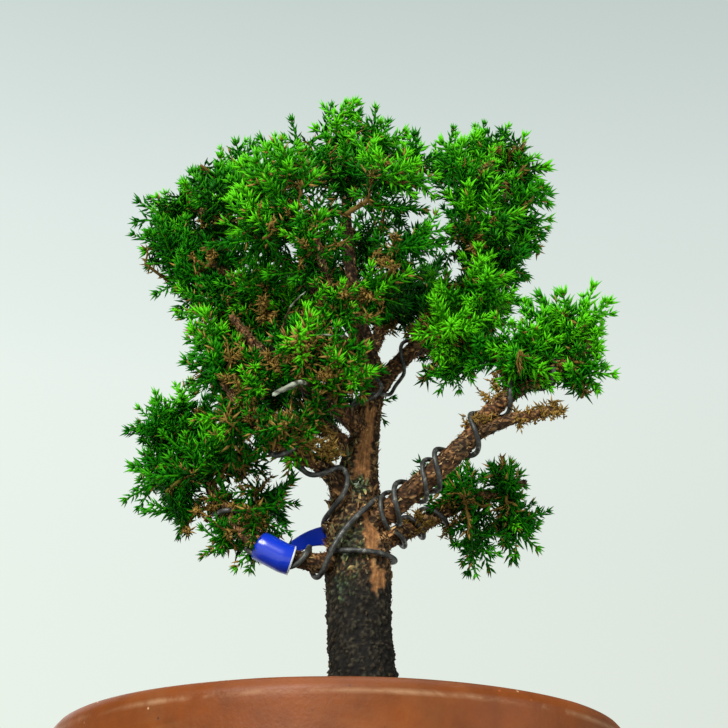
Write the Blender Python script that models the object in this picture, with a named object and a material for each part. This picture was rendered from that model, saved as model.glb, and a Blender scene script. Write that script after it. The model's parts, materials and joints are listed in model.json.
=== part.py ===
"""A small wired conifer bonsai in a round clay pot.

The frame's origin is the centre of the pot's foot, on the surface that it stands on, with +Z up and the
tree's front towards -Y. Lengths are in metres. The tables of limbs and foliage are written in
millimetres, because that is how a tree this size is measured, and are turned into metres as they are read.
"""
import math

import bmesh
import bpy
import numpy as np
from mathutils import Vector

MM = 0.001
GAP = 0.35 * MM               # clearance between pieces that touch

# Pot: a thrown clay pot, 180 mm across the rim and 130 mm tall.
RIM_RADIUS = 90 * MM
POT_HEIGHT = 130 * MM
LIP_RADIUS = 4 * MM           # half of the rim's rounded thickness
COLLAR_DEPTH = 27 * MM        # height of the thick band below the rim
COLLAR_STEP = 4 * MM          # how far the collar stands out of the wall
FOOT_RADIUS = 62 * MM
FOOT_WIDTH = 9 * MM
FOOT_DEPTH = 5 * MM           # recess under the floor, inside the foot ring
FLOOR_TOP = 12 * MM
WALL = 8 * MM
DRAIN_RADIUS = 11 * MM
POT_SEGMENTS = 48

# What fills the pot.
GRAVEL_TOP = 26 * MM
SOIL_EDGE = 117 * MM          # soil surface at the wall
SOIL_MOUND = 119.3 * MM       # soil surface at the trunk
SOIL_SEGMENTS = 40
SCREEN_RADIUS = 18 * MM
SCREEN_THICKNESS = 1.2 * MM
STAPLE_SPACING = 8.6 * MM     # each leg of the staple from the pot's axis
STAPLE_WIRE = 0.7 * MM

# Tree: sides and spacing of the swept stems.
TRUNK_SIDES = 16
LIMB_SIDES = 9
RING_STEP = 7 * MM
SLEEVE_SIDES = 7
SLEEVE_ROOM = 3.3 * MM        # room that the foliage leaves round a limb and its wire
ROOT_LOBES = 5
ROOT_LOBE_DEPTH = 0.16
ROOT_ROOM = 0.9 * MM          # between the roots and the soil

# x, y, z and radius in millimetres, from the base outwards.
TRUNK = [
    (8.5, 1, 96, 9), (8.3, 1, 104, 15), (8.2, 0.5, 113, 17), (8, 0, 121, 14.3), (7.8, 0, 131, 12.1),
    (7.5, 0, 151, 11), (6.9, 0, 162, 10.5), (6.5, 0, 175, 10.6), (6.2, 0, 185, 10.8), (6.2, 0, 193.5, 10.4),
    (5.8, 0, 204, 9.3), (5.8, 0, 212.5, 7.7), (6.5, 0, 221.5, 6.4), (8.1, 0, 230, 5.2), (9.5, 0, 239.5, 4.5),
    (10.9, 0, 247, 4.0), (11.6, 0, 254, 3.5), (9.5, 2, 264, 3.0), (6.7, 4, 276.5, 2.7), (4, 4, 292, 2.3),
    (2.5, 2, 307, 2.0), (1.7, 0, 322, 1.6), (3, 0, 340, 1.1),
]
BRANCHES = {
    "branch_lower_left": [
        (4, 1, 186, 5.0), (0.3, -2, 187, 4.2), (-6, -6, 185.5, 3.3), (-12.6, -8, 186, 2.9), (-17.4, -9, 187.3, 2.8),
        (-23, -9, 190.3, 2.8), (-29, -8, 193.7, 2.75), (-34, -6, 198.4, 2.6), (-38.7, -4, 205.3, 2.3),
        (-44, -2, 215, 2.0), (-48.7, 0, 225, 1.6), (-52, 1, 233, 1.2),
    ],
    "branch_mid_left": [
        (5, 1, 204, 5), (1.5, -5, 208.5, 4.2), (-0.8, -9, 212.6, 3.5), (-6.3, -14, 216.4, 2.8),
        (-12.6, -20, 217.3, 2.4), (-19, -24, 219.3, 2.1), (-26, -27, 224.4, 1.7), (-32, -28, 232, 1.4),
        (-38, -28, 240, 1.0),
    ],
    "branch_mid_left_upper": [
        (8.5, 0, 233, 4.0), (0, -8, 238, 2.8), (-10, -15, 243, 2.3), (-20, -20, 249, 2.0), (-29, -22, 257, 1.6),
        (-36, -22, 266, 1.2),
    ],
    "branch_lower_right": [
        (8, 2, 194, 5), (13, 6, 196, 3.8), (20, 10, 200.4, 3.2), (27, 13, 204.5, 3.0), (34, 16, 209.4, 2.8),
        (41, 19, 214, 2.5), (48, 21, 217, 2.1), (57, 22, 219.5, 1.7), (64, 22, 223, 1.2),
    ],
    "branch_right": [
        (8, -1, 196, 5.5), (12, -5, 200.5, 4.4), (16.7, -7, 203.2, 3.9), (23.2, -10, 208.1, 3.7),
        (29.8, -12, 213.3, 3.6), (36.3, -14, 218.8, 3.5), (43, -15, 225.4, 3.3), (48.7, -16, 232.8, 3.0),
        (54, -17, 238, 2.7), (60.4, -18, 242, 2.3), (69, -19, 246.6, 2.0), (77, -20, 250.5, 1.6), (84, -20, 256, 1.1),
    ],
    "branch_upper_right": [
        (11.4, 0, 247, 3.6), (17.7, -2, 255, 2.9), (23.8, -6, 260, 2.7), (30, -8, 266, 2.4),
        (39.5, -8, 278.7, 2.1), (50.5, -5, 299.4, 1.8), (58.6, 0, 322, 1.4), (60, 0, 332, 1.0),
    ],
    "branch_crown_left": [
        (6.9, 3, 275, 2.6), (-5.5, 2, 285.3, 2.2), (-19.8, 2, 298.2, 1.8), (-34.2, 2, 310, 1.6),
        (-48.7, 2, 317, 1.25), (-58, 2, 320, 0.9),
    ],
    "branch_left_upper": [
        (10, 1, 261, 3), (-4, -3, 268, 2.3), (-18, -8, 274, 2), (-32, -11, 282, 1.6), (-44, -12, 291, 1.1),
    ],
    "branch_front": [
        (10.8, 0, 256, 3), (6, -12, 262, 2.2), (0, -24, 268, 1.9), (-5, -36, 276, 1.5), (-8, -44, 286, 1.1),
    ],
    "branch_crown_back": [
        (9.5, 2, 264, 2.8), (12, 14, 272, 2.3), (14, 28, 284, 2.0), (13, 40, 296, 1.6), (10, 50, 306, 1.1),
    ],
    "branch_low_back": [
        (7, 0, 222, 4), (5, 12, 230, 3), (0, 24, 239, 2.6), (-5, 34, 248, 2.2), (-9, 42, 257, 1.7),
        (-12, 48, 265, 1.2),
    ],
}
# These grow out of a branch, not out of the trunk.
SIDE_BRANCHES = {
    "branch_right_twig": ("branch_right", [
        (43, -15, 225.4, 2.2), (49, -18, 227.5, 2.0), (56, -20, 230, 1.9), (64, -21, 231.5, 1.7), (71, -21, 233, 1.4),
    ]),
    "branch_right_back": ("branch_upper_right", [
        (23.8, -6, 260, 2.5), (32, 6, 268, 2.0), (42, 18, 278, 1.6), (50, 28, 290, 1.1),
    ]),
}

# Centre and half-size of each cloud of foliage, in millimetres.
FOLIAGE = {
    "foliage_lower_left_outer": ((-55, -1, 222), (18, 21, 24)),
    "foliage_lower_left_inner": ((-31, -4, 212), (20, 21, 21)),
    "foliage_mid_left": ((-33, -25, 243), (19, 20, 18)),
    "foliage_mid_left_front": ((-6, -31, 243), (19, 19, 18)),
    "foliage_lower_right": ((52, 20, 211), (18, 20, 21)),
    "foliage_right_tip": ((74, -19, 261), (16, 20, 20)),
    "foliage_right_inner": ((52, -18, 254), (14, 17, 14)),
    "foliage_upper_right": ((41, -12, 274), (20, 22, 19)),
    "foliage_crown_left": ((-50, 2, 306), (22, 28, 26)),
    "foliage_crown_left_low": ((-34, -12, 276), (23, 26, 22)),
    "foliage_crown_left_top": ((-27, 0, 330), (25, 28, 21)),
    "foliage_crown_top": ((4, 0, 334), (24, 28, 23)),
    "foliage_crown_right_top": ((50, 0, 333), (24, 28, 21)),
    "foliage_crown_right": ((60, -2, 304), (17, 28, 22)),
    "foliage_crown_front": ((0, -36, 294), (32, 20, 29)),
    "foliage_crown_back": ((4, 43, 303), (38, 21, 34)),
    "foliage_low_back": ((-12, 43, 265), (30, 21, 20)),
    "foliage_right_back": ((50, 30, 287), (22, 21, 23)),
}
FOLIAGE_DETAIL = 2            # times the icosphere is divided

WIRE_THICK = 2.0 * MM
WIRE_MEDIUM = 1.8 * MM
WIRE_THIN = 1.5 * MM
POINTS_PER_TURN = 16
WIRE_STEP = 2.2 * MM
WIRE_ROOM = 0.5 * MM          # aimed for between wire and bark, as the chords come closer
SETTLE_STEPS = 50
PUSH_STEPS = 15               # at the end, with no more easing

# The tag is a strip wrapped once round the lower left branch, with a loose tail.
TAG_BRANCH = "branch_lower_left"
TAG_START = 21.8 * MM         # along the branch
TAG_END = 33.2 * MM
TAG_RADIUS = 4.7 * MM
TAG_DROP = 1.1 * MM           # the loop hangs below the branch's axis
TAG_THICKNESS = 0.4 * MM
TAG_TURN = 335                # degrees of the loop
TAG_TAIL_END = [(-7.5, 4.5, 200.5), (-6.8, 4.6, 197.6), (-6.0, 4.8, 194.7)]


# ---------------------------------------------------------------- helpers

def clear_scene():
    for thing in list(bpy.data.objects):
        bpy.data.objects.remove(thing)


def finish(name, colour, roughness, metallic=0.0):
    """A Principled material, made once for each name."""
    material = bpy.data.materials.get(name)
    if material:
        return material
    material = bpy.data.materials.new(name)
    material.use_nodes = True
    shader = material.node_tree.nodes["Principled BSDF"]
    shader.inputs["Base Color"].default_value = (*colour, 1.0)
    shader.inputs["Roughness"].default_value = roughness
    shader.inputs["Metallic"].default_value = metallic
    return material


def clay():
    return finish("clay", (0.30, 0.10, 0.04), 0.55)


def bark():
    return finish("bark", (0.10, 0.06, 0.035), 0.85)


def leaves():
    return finish("leaves", (0.05, 0.22, 0.03), 0.5)


def soil_grit():
    return finish("soil_grit", (0.12, 0.08, 0.05), 0.95)


def gravel_stone():
    return finish("gravel_stone", (0.35, 0.32, 0.28), 0.9)


def screen_plastic():
    return finish("screen_plastic", (0.03, 0.03, 0.03), 0.5)


def dark_wire():
    return finish("dark_wire", (0.06, 0.065, 0.06), 0.4, 1.0)


def tag_plastic():
    return finish("tag_plastic", (0.01, 0.05, 0.5), 0.3)


def add_object(name, mesh, material, smooth=True):
    thing = bpy.data.objects.new(name, mesh)
    bpy.context.scene.collection.objects.link(thing)
    mesh.materials.append(material)
    if smooth:
        mesh.shade_smooth()
    return thing


def make_guide(thing):
    """Marks a cutter, which isn't a piece of the object."""
    thing.hide_render = True
    thing.display_type = "WIRE"
    return thing


def cut(target, cutter):
    boolean = target.modifiers.new("cut_" + cutter.name[:40], "BOOLEAN")
    boolean.operation = "DIFFERENCE"
    boolean.solver = "EXACT"
    boolean.object = cutter


def mesh_from(name, build):
    """A mesh made by build(bm), closed and with its faces turned outwards."""
    bm = bmesh.new()
    build(bm)
    bmesh.ops.recalc_face_normals(bm, faces=bm.faces)
    mesh = bpy.data.meshes.new(name)
    bm.to_mesh(mesh)
    bm.free()
    return mesh


def arc(centre_r, centre_z, radius, start, end, steps):
    """Profile points on an arc, with angles in degrees from +r towards +z."""
    points = []
    for i in range(steps + 1):
        angle = math.radians(start + (end - start) * i / steps)
        points.append((centre_r + radius * math.cos(angle), centre_z + radius * math.sin(angle)))
    return points


def turned(name, profile, segments, material):
    """A solid turned round +Z from a closed outline of (radius, height); a point on the axis stays one point."""
    def build(bm):
        rings = []
        for radius, height in profile:
            if radius < 1e-7:
                rings.append([bm.verts.new((0, 0, height))])
                continue
            ring = []
            for i in range(segments):
                angle = 2 * math.pi * i / segments
                ring.append(bm.verts.new((radius * math.cos(angle), radius * math.sin(angle), height)))
            rings.append(ring)
        for k, lower in enumerate(rings):
            upper = rings[(k + 1) % len(rings)]
            if len(lower) == 1 and len(upper) == 1:
                continue
            for i in range(segments):
                j = (i + 1) % segments
                corners = [lower[i % len(lower)], lower[j % len(lower)], upper[j % len(upper)], upper[i % len(upper)]]
                bm.faces.new(dict.fromkeys(corners))
    return add_object(name, mesh_from(name, build), material)


# ---------------------------------------------------------------- paths of limbs

def smooth_path(table, step=RING_STEP):
    """Rows of x, y, z, radius in metres, on a curve through the table's points and about step apart."""
    rows = np.array(table, dtype=float) * MM
    padded = np.vstack([2 * rows[0] - rows[1], rows, 2 * rows[-1] - rows[-2]])
    out = []
    for i in range(1, len(padded) - 2):
        before, here, there, after = padded[i - 1:i + 3]
        parts = max(1, round(np.linalg.norm(there[:3] - here[:3]) / step))
        for part in range(parts):
            t = part / parts
            blend = (2 * here + (there - before) * t + (2 * before - 5 * here + 4 * there - after) * t * t
                     + (3 * here - before - 3 * there + after) * t ** 3)
            out.append(blend / 2)
    out.append(rows[-1])
    return np.array(out)


def tangents(points):
    steps = np.gradient(points[:, :3], axis=0)
    return steps / np.linalg.norm(steps, axis=1)[:, None]


def swept_mesh(name, path, sides, lobed=False):
    """A closed tube along the path, with its own radius at each ring and a rounded point at its far end."""
    directions = tangents(path)
    across = np.cross(directions[0], (0.0, 1.0, 0.0))
    if np.linalg.norm(across) < 0.2:
        across = np.cross(directions[0], (1.0, 0.0, 0.0))

    def build(bm):
        side = across
        rings = []
        for (x, y, z, radius), direction in zip(path, directions):
            side = side - direction * np.dot(side, direction)
            side = side / np.linalg.norm(side)
            other = np.cross(direction, side)
            ring = []
            for i in range(sides):
                angle = 2 * math.pi * i / sides
                swell = 1.0
                if lobed:
                    buried = min(1.0, max(0.0, (0.128 - z) / 0.02))
                    swell += ROOT_LOBE_DEPTH * buried * math.cos(ROOT_LOBES * angle)
                offset = (side * math.cos(angle) + other * math.sin(angle)) * radius * swell
                ring.append(bm.verts.new((x + offset[0], y + offset[1], z + offset[2])))
            rings.append(ring)
        tip = path[-1][:3] + directions[-1] * path[-1][3]
        point = bm.verts.new(tip)
        bm.faces.new(rings[0])
        for lower, upper in zip(rings, rings[1:]):
            for i in range(sides):
                j = (i + 1) % sides
                bm.faces.new((lower[i], lower[j], upper[j], upper[i]))
        for i in range(sides):
            bm.faces.new((rings[-1][i], rings[-1][(i + 1) % sides], point))
    return mesh_from(name, build)


def grown(path, room):
    """The same path, with room more all round and at both ends."""
    wider = path.copy()
    wider[:, 3] += room
    wider[0, :3] -= tangents(path)[0] * room
    return wider


# ---------------------------------------------------------------- pot and what fills it

def make_pot():
    lip_centre = RIM_RADIUS - LIP_RADIUS
    lip_height = POT_HEIGHT - LIP_RADIUS
    collar_low = POT_HEIGHT - COLLAR_DEPTH
    wall_top = RIM_RADIUS - 1.2 * MM - COLLAR_STEP
    profile = arc(lip_centre, lip_height, LIP_RADIUS, 0, 180, 6)
    profile += [(wall_top - WALL + 1.5 * MM, collar_low - 6 * MM)]
    profile += [(FOOT_RADIUS - WALL + 2 * MM, FLOOR_TOP + 5 * MM)]
    profile += [(FOOT_RADIUS - WALL - 3 * MM, FLOOR_TOP)]
    profile += [(DRAIN_RADIUS + 1 * MM, FLOOR_TOP), (DRAIN_RADIUS, FLOOR_TOP - 1 * MM), (DRAIN_RADIUS, FOOT_DEPTH)]
    profile += [(FOOT_RADIUS - FOOT_WIDTH, FOOT_DEPTH), (FOOT_RADIUS - FOOT_WIDTH + 1 * MM, 0)]
    profile += [(FOOT_RADIUS - 1 * MM, 0), (FOOT_RADIUS, 1 * MM), (FOOT_RADIUS + 1 * MM, 8 * MM)]
    profile += [(wall_top, collar_low - 2 * MM), (wall_top + COLLAR_STEP - 1 * MM, collar_low)]
    profile += [(wall_top + COLLAR_STEP, collar_low + 1.5 * MM), (RIM_RADIUS - 0.5 * MM, lip_height - 9 * MM)]
    return turned("pot", profile, POT_SEGMENTS, clay())


def inner_radius(height):
    """The pot's inside radius between the floor's corner and the collar."""
    low = (FOOT_RADIUS - WALL + 2 * MM, FLOOR_TOP + 5 * MM)
    high = (RIM_RADIUS - 1.2 * MM - COLLAR_STEP - WALL + 1.5 * MM, POT_HEIGHT - COLLAR_DEPTH - 6 * MM)
    rim = (RIM_RADIUS - 2 * LIP_RADIUS, POT_HEIGHT - LIP_RADIUS)
    if height > high[1]:
        low, high = high, rim
    share = (height - low[1]) / (high[1] - low[1])
    return low[0] + (high[0] - low[0]) * share


def make_screen():
    """A round plastic screen over the drain hole, with two holes for the staple."""
    low = FLOOR_TOP + GAP
    high = low + SCREEN_THICKNESS
    outline = [(0, low), (SCREEN_RADIUS, low), (SCREEN_RADIUS, high), (0, high)]
    screen = turned("drain_screen", outline, 32, screen_plastic())
    screen.data.set_sharp_from_angle(angle=math.radians(40))
    for sign in (-1, 1):
        bpy.ops.mesh.primitive_cylinder_add(
            vertices=12, radius=STAPLE_WIRE + 3 * GAP, depth=8 * MM, location=(sign * STAPLE_SPACING, 0, low),
            rotation=(0, 0, math.radians(10)))
        hole = make_guide(bpy.context.object)
        hole.name = "cutter_screen_hole_left" if sign < 0 else "cutter_screen_hole_right"
        cut(screen, hole)
    return screen


def make_staple():
    """A wire staple that holds the screen: over it, down through the drain hole and out under the floor."""
    top = FLOOR_TOP + 2 * GAP + SCREEN_THICKNESS + STAPLE_WIRE
    low = FOOT_DEPTH - GAP - STAPLE_WIRE
    bend = 1.0 * MM
    end = DRAIN_RADIUS + 6 * MM
    half = [(0, top), (STAPLE_SPACING - bend, top), (STAPLE_SPACING, top - bend)]
    half += [(STAPLE_SPACING, low + bend), (STAPLE_SPACING + bend, low), (end, low)]
    points = [(-x, z) for x, z in reversed(half[1:])] + half
    return wire_object("screen_staple", np.array([(x, 0.0, z) for x, z in points]), 2 * STAPLE_WIRE)


def make_gravel():
    low = FLOOR_TOP + GAP
    dome = SCREEN_RADIUS + 1 * MM
    clear = FLOOR_TOP + 3 * GAP + SCREEN_THICKNESS + 2 * STAPLE_WIRE
    side_low = inner_radius(FLOOR_TOP + 5 * MM) - 3 * GAP
    side_high = inner_radius(GRAVEL_TOP) - 3 * GAP
    outline = [(0, clear), (dome, clear), (dome, low), (side_low - 6 * MM, low), (side_low, low + 5 * MM)]
    outline += [(side_high, GRAVEL_TOP), (0, GRAVEL_TOP)]
    return turned("drainage_gravel", outline, SOIL_SEGMENTS, gravel_stone())


def make_soil(root_room):
    low = GRAVEL_TOP + GAP
    elbow = POT_HEIGHT - COLLAR_DEPTH - 6 * MM
    outline = [(0, low), (inner_radius(low) - 3 * GAP, low), (inner_radius(elbow) - 3 * GAP, elbow)]
    outline += [(inner_radius(SOIL_EDGE) - 3 * GAP, SOIL_EDGE), (55 * MM, SOIL_EDGE + 1.3 * MM)]
    outline += [(30 * MM, SOIL_MOUND), (0, SOIL_MOUND)]
    soil = turned("soil", outline, SOIL_SEGMENTS, soil_grit())
    cut(soil, root_room)
    return soil


# ---------------------------------------------------------------- tree

def make_trunk():
    path = smooth_path(TRUNK)
    return path, add_object("trunk", swept_mesh("trunk", path, TRUNK_SIDES, lobed=True), bark())


def make_room(name, path, room, sides, lobed=False):
    """A cutter that leaves clearance round a limb."""
    return make_guide(add_object(name, swept_mesh(name, grown(path, room), sides, lobed), bark()))


def make_branch(name, table, parent_room):
    """A branch whose base is cut to the shape of the limb that it grows from."""
    path = smooth_path(table)
    branch = add_object(name, swept_mesh(name, path, LIMB_SIDES), bark())
    cut(branch, parent_room)
    return path


# ---------------------------------------------------------------- foliage

def foliage_mesh(name, centre, half, neighbours):
    """A rounded cloud: an ellipsoid, cut flat half-way to each neighbour that it would touch."""
    bm = bmesh.new()
    bmesh.ops.create_icosphere(bm, subdivisions=FOLIAGE_DETAIL, radius=1.0)
    centre = np.array(centre) * MM
    half = np.array(half) * MM
    for vert in bm.verts:
        direction = np.array(vert.co)
        direction = direction / np.linalg.norm(direction)
        reach = 1 / np.linalg.norm(direction / half)
        for other_centre, other_half in neighbours:
            towards = np.array(other_centre) * MM - centre
            distance = np.linalg.norm(towards)
            towards = towards / distance
            own = 1 / np.linalg.norm(towards / half)
            theirs = 1 / np.linalg.norm(towards / (np.array(other_half) * MM))
            wall = distance * own / (own + theirs) - GAP
            facing = np.dot(direction, towards)
            if facing > 0:
                reach = min(reach, wall / facing)
        vert.co = Vector(centre + direction * reach)
    mesh = bpy.data.meshes.new(name)
    bm.to_mesh(mesh)
    bm.free()
    return mesh


def reaches(path, centre, half, room):
    """Whether a limb and its clearance come into a cloud of foliage."""
    offset = (path[:, :3] - np.array(centre) * MM) / (np.array(half) * MM + path[:, 3:4] + room)
    return bool((np.linalg.norm(offset, axis=1) < 1.05).any())


def make_foliage(paths, sleeves):
    for name, (centre, half) in FOLIAGE.items():
        neighbours = [shape for other, shape in FOLIAGE.items() if other != name]
        cloud = add_object(name, foliage_mesh(name, centre, half, neighbours), leaves())
        for limb, path in paths.items():
            if reaches(path, centre, half, SLEEVE_ROOM):
                cut(cloud, sleeves[limb])


# ---------------------------------------------------------------- training wire

def along(path, distance):
    """Centre, radius and direction of a limb at a distance in metres from its base."""
    steps = np.linalg.norm(np.diff(path[:, :3], axis=0), axis=1)
    run = np.concatenate([[0], np.cumsum(steps)])
    place = [np.interp(distance, run, path[:, k]) for k in range(4)]
    direction = [np.interp(distance, run, tangents(path)[:, k]) for k in range(3)]
    direction = np.array(direction) / np.linalg.norm(direction)
    return np.array(place[:3]), place[3], direction


def coil(path, start, end, angle, turn, wire):
    """Points of a wire round a limb, from start to end in millimetres along it.

    The angle is in degrees round the limb: 0 is the front, and a quarter turn on is the side that the
    cross product of the limb's direction and the front gives. turn is how far it goes on from there.
    """
    count = max(2, round(abs(turn) / 360 * POINTS_PER_TURN) + 1)
    count = max(count, round(abs(end - start) / 3))
    points = []
    for t in np.linspace(0, 1, count):
        centre, radius, direction = along(path, (start + (end - start) * t) * MM)
        front = np.array((0.0, -1.0, 0.0))
        front = front - direction * np.dot(front, direction)
        front = front / np.linalg.norm(front)
        side = np.cross(direction, front)
        around = math.radians(angle + turn * t)
        reach = radius + wire / 2 + WIRE_ROOM
        points.append(centre + (front * math.cos(around) + side * math.sin(around)) * reach)
    return points


def via(*places):
    return [np.array(place) * MM for place in places]


def pushed_out(points, centres, radii, wire):
    """Moves each point out of the chain of spheres that it is deepest in."""
    moved = points.copy()
    for i, point in enumerate(points):
        starts = centres[:-1]
        runs = centres[1:] - starts
        share = ((point - starts) * runs).sum(1) / np.maximum((runs ** 2).sum(1), 1e-12)
        share = np.clip(share, 0, 1)
        nearest = starts + runs * share[:, None]
        size = radii[:-1] + (radii[1:] - radii[:-1]) * share
        offset = point - nearest
        distance = np.linalg.norm(offset, axis=1)
        room = distance - size
        k = int(np.argmin(room))
        lack = wire / 2 + WIRE_ROOM - room[k]
        if lack > 0 and distance[k] > 1e-6:
            moved[i] = point + offset[k] / distance[k] * lack
    return moved


def evenly(points, step):
    """The same line with its points an even distance apart."""
    points = np.array(points)
    run = np.concatenate([[0], np.cumsum(np.linalg.norm(np.diff(points, axis=0), axis=1))])
    places = np.linspace(0, run[-1], max(3, round(run[-1] / step)))
    return np.array([[np.interp(place, run, points[:, k]) for k in range(3)] for place in places])


def settled(points, obstacles, wire):
    """The wire's points, eased to a smooth line that lies on the bark and over the wires below it."""
    line = evenly(points, WIRE_STEP)
    for step in range(SETTLE_STEPS):
        if step < SETTLE_STEPS - PUSH_STEPS:
            eased = line.copy()
            eased[1:-1] = line[1:-1] * 0.8 + (line[:-2] + line[2:]) * 0.1
            line = eased
        for centres, radii in obstacles:
            line = pushed_out(line, centres, radii, wire)
    return line


def wire_object(name, points, thickness):
    curve = bpy.data.curves.new(name, "CURVE")
    curve.dimensions = "3D"
    curve.bevel_depth = thickness / 2
    curve.bevel_resolution = 1
    curve.use_fill_caps = True
    spline = curve.splines.new("POLY")
    spline.points.add(len(points) - 1)
    for place, point in zip(spline.points, points):
        place.co = (*point, 1.0)
    thing = bpy.data.objects.new(name, curve)
    bpy.context.scene.collection.objects.link(thing)
    curve.materials.append(dark_wire())
    return thing


def wire_routes(p):
    """Name, thickness and points of each wire, in the order that they were put on."""
    trunk = p["trunk"]
    thick, medium, thin = WIRE_THICK, WIRE_MEDIUM, WIRE_THIN
    long_wire = coil(p["branch_lower_left"], 62, 36, 60, 590, thick)
    long_wire += coil(p["branch_lower_left"], 34, 21.5, 270, 0, thick)
    long_wire += coil(p["branch_lower_left"], 20, 12.3, 290, 340, thick)
    long_wire += via((-5.2, -10.5, 181.3), (-3.9, -12.9, 184.5), (-1.1, -13.4, 190.5), (1.5, -13.2, 195))
    long_wire += via((4.4, -12, 199))
    long_wire += coil(p["branch_right"], 6.5, 92, 222, -1810, thick)

    left_wire = coil(trunk, 92.3, 91.2, -52, 142, thick)
    left_wire += coil(trunk, 91.6, 104.5, 104, 150, thick)
    left_wire += via((-3.4, -9.8, 202.6), (1.2, -12.2, 205), (4.2, -12.8, 208.5), (4.4, -13, 212), (2.2, -12.4, 215.5))
    left_wire += coil(p["branch_mid_left"], 17, 60, 96, -1030, thick)

    right_wire = coil(p["branch_lower_right"], 49, 30, 470, -470, medium)
    right_wire += coil(p["branch_lower_right"], 29, 13, -10, -720, medium)
    right_wire += coil(p["branch_right"], 7.5, 35, 75, -566, medium)

    crown_wire = coil(trunk, 146, 153, -120, 240, thin)
    crown_wire += coil(p["branch_upper_right"], 10, 74, 150, -1440, thin)

    upper_wire = coil(p["branch_mid_left_upper"], 46, 12, 30, 900, thin)
    upper_wire += coil(trunk, 142, 160, -60, 200, thin)[3:-3]
    upper_wire += coil(p["branch_left_upper"], 12, 50, -90, -900, thin)
    return {
        "wire_trunk_to_mid_left": (thick, left_wire),
        "wire_lower_left_to_right": (thick, long_wire),
        "wire_lower_right_to_right": (medium, right_wire),
        "wire_upper_right": (thin, crown_wire),
        "wire_left_upper_pair": (thin, upper_wire),
    }


def make_wires(paths):
    obstacles = [(path[:, :3], path[:, 3]) for path in paths.values()]
    for name, (thickness, points) in wire_routes(paths).items():
        line = settled(points, obstacles, thickness)
        wire_object(name, line, thickness)
        obstacles.append((line, np.full(len(line), thickness / 2)))


# ---------------------------------------------------------------- tag

def make_tag(path):
    """A strip of plastic: a loop round the branch, with a tail from its inner half towards the trunk."""
    columns = 5
    rows = 22
    bm = bmesh.new()
    grid = []
    for i in range(rows):
        angle = math.radians(150 + TAG_TURN * i / (rows - 1))
        line = []
        for j in range(columns):
            centre, radius, direction = along(path, TAG_END + (TAG_START - TAG_END) * j / (columns - 1))
            front = np.array((0.0, -1.0, 0.0))
            front = front - direction * np.dot(front, direction)
            front = front / np.linalg.norm(front)
            up = np.cross(direction, front)
            place = centre - up * TAG_DROP + (front * math.cos(angle) + up * math.sin(angle)) * TAG_RADIUS
            line.append(bm.verts.new(place))
        grid.append(line)
    for lower, upper in zip(grid, grid[1:]):
        for j in range(columns - 1):
            bm.faces.new((lower[j], lower[j + 1], upper[j + 1], upper[j]))
    tail_rows = 6
    before = grid[0][2:]
    ends = [np.array(place) * MM for place in TAG_TAIL_END]
    starts = [np.array(vert.co) for vert in before]
    for i in range(1, tail_rows + 1):
        t = i / tail_rows
        bulge = math.sin(math.pi * t) * 2.2 * MM
        line = []
        for start, end in zip(starts, ends):
            place = start + (end - start) * t + np.array((0.0, bulge, bulge))
            line.append(bm.verts.new(place))
        for j in range(len(line) - 1):
            bm.faces.new((before[j], before[j + 1], line[j + 1], line[j]))
        before = line
    bmesh.ops.recalc_face_normals(bm, faces=bm.faces)
    mesh = bpy.data.meshes.new("tag")
    bm.to_mesh(mesh)
    bm.free()
    tag = add_object("tag", mesh, tag_plastic())
    solidify = tag.modifiers.new("thickness", "SOLIDIFY")
    solidify.thickness = TAG_THICKNESS
    solidify.offset = 0.0
    solidify.use_even_offset = True
    return tag


# ---------------------------------------------------------------- the whole

def main():
    clear_scene()
    make_pot()
    make_screen()
    make_staple()
    make_gravel()
    trunk_path, trunk = make_trunk()
    make_soil(make_room("cutter_root_room", trunk_path, ROOT_ROOM, TRUNK_SIDES, lobed=True))
    trunk_room = make_room("cutter_trunk_room", trunk_path, GAP, TRUNK_SIDES, lobed=True)

    paths = {"trunk": trunk_path}
    for name, table in BRANCHES.items():
        paths[name] = make_branch(name, table, trunk_room)
    for name, (parent, table) in SIDE_BRANCHES.items():
        parent_room = make_room("cutter_" + parent + "_room", paths[parent], GAP, LIMB_SIDES)
        paths[name] = make_branch(name, table, parent_room)

    sleeves = {}
    for name, path in paths.items():
        sleeves[name] = make_room("cutter_" + name + "_sleeve", path, SLEEVE_ROOM, SLEEVE_SIDES)
    make_foliage(paths, sleeves)
    make_wires(paths)
    make_tag(paths[TAG_BRANCH])


main()
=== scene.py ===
import json
import math

import bmesh
import bpy
import numpy as np
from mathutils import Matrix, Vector, noise

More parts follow.
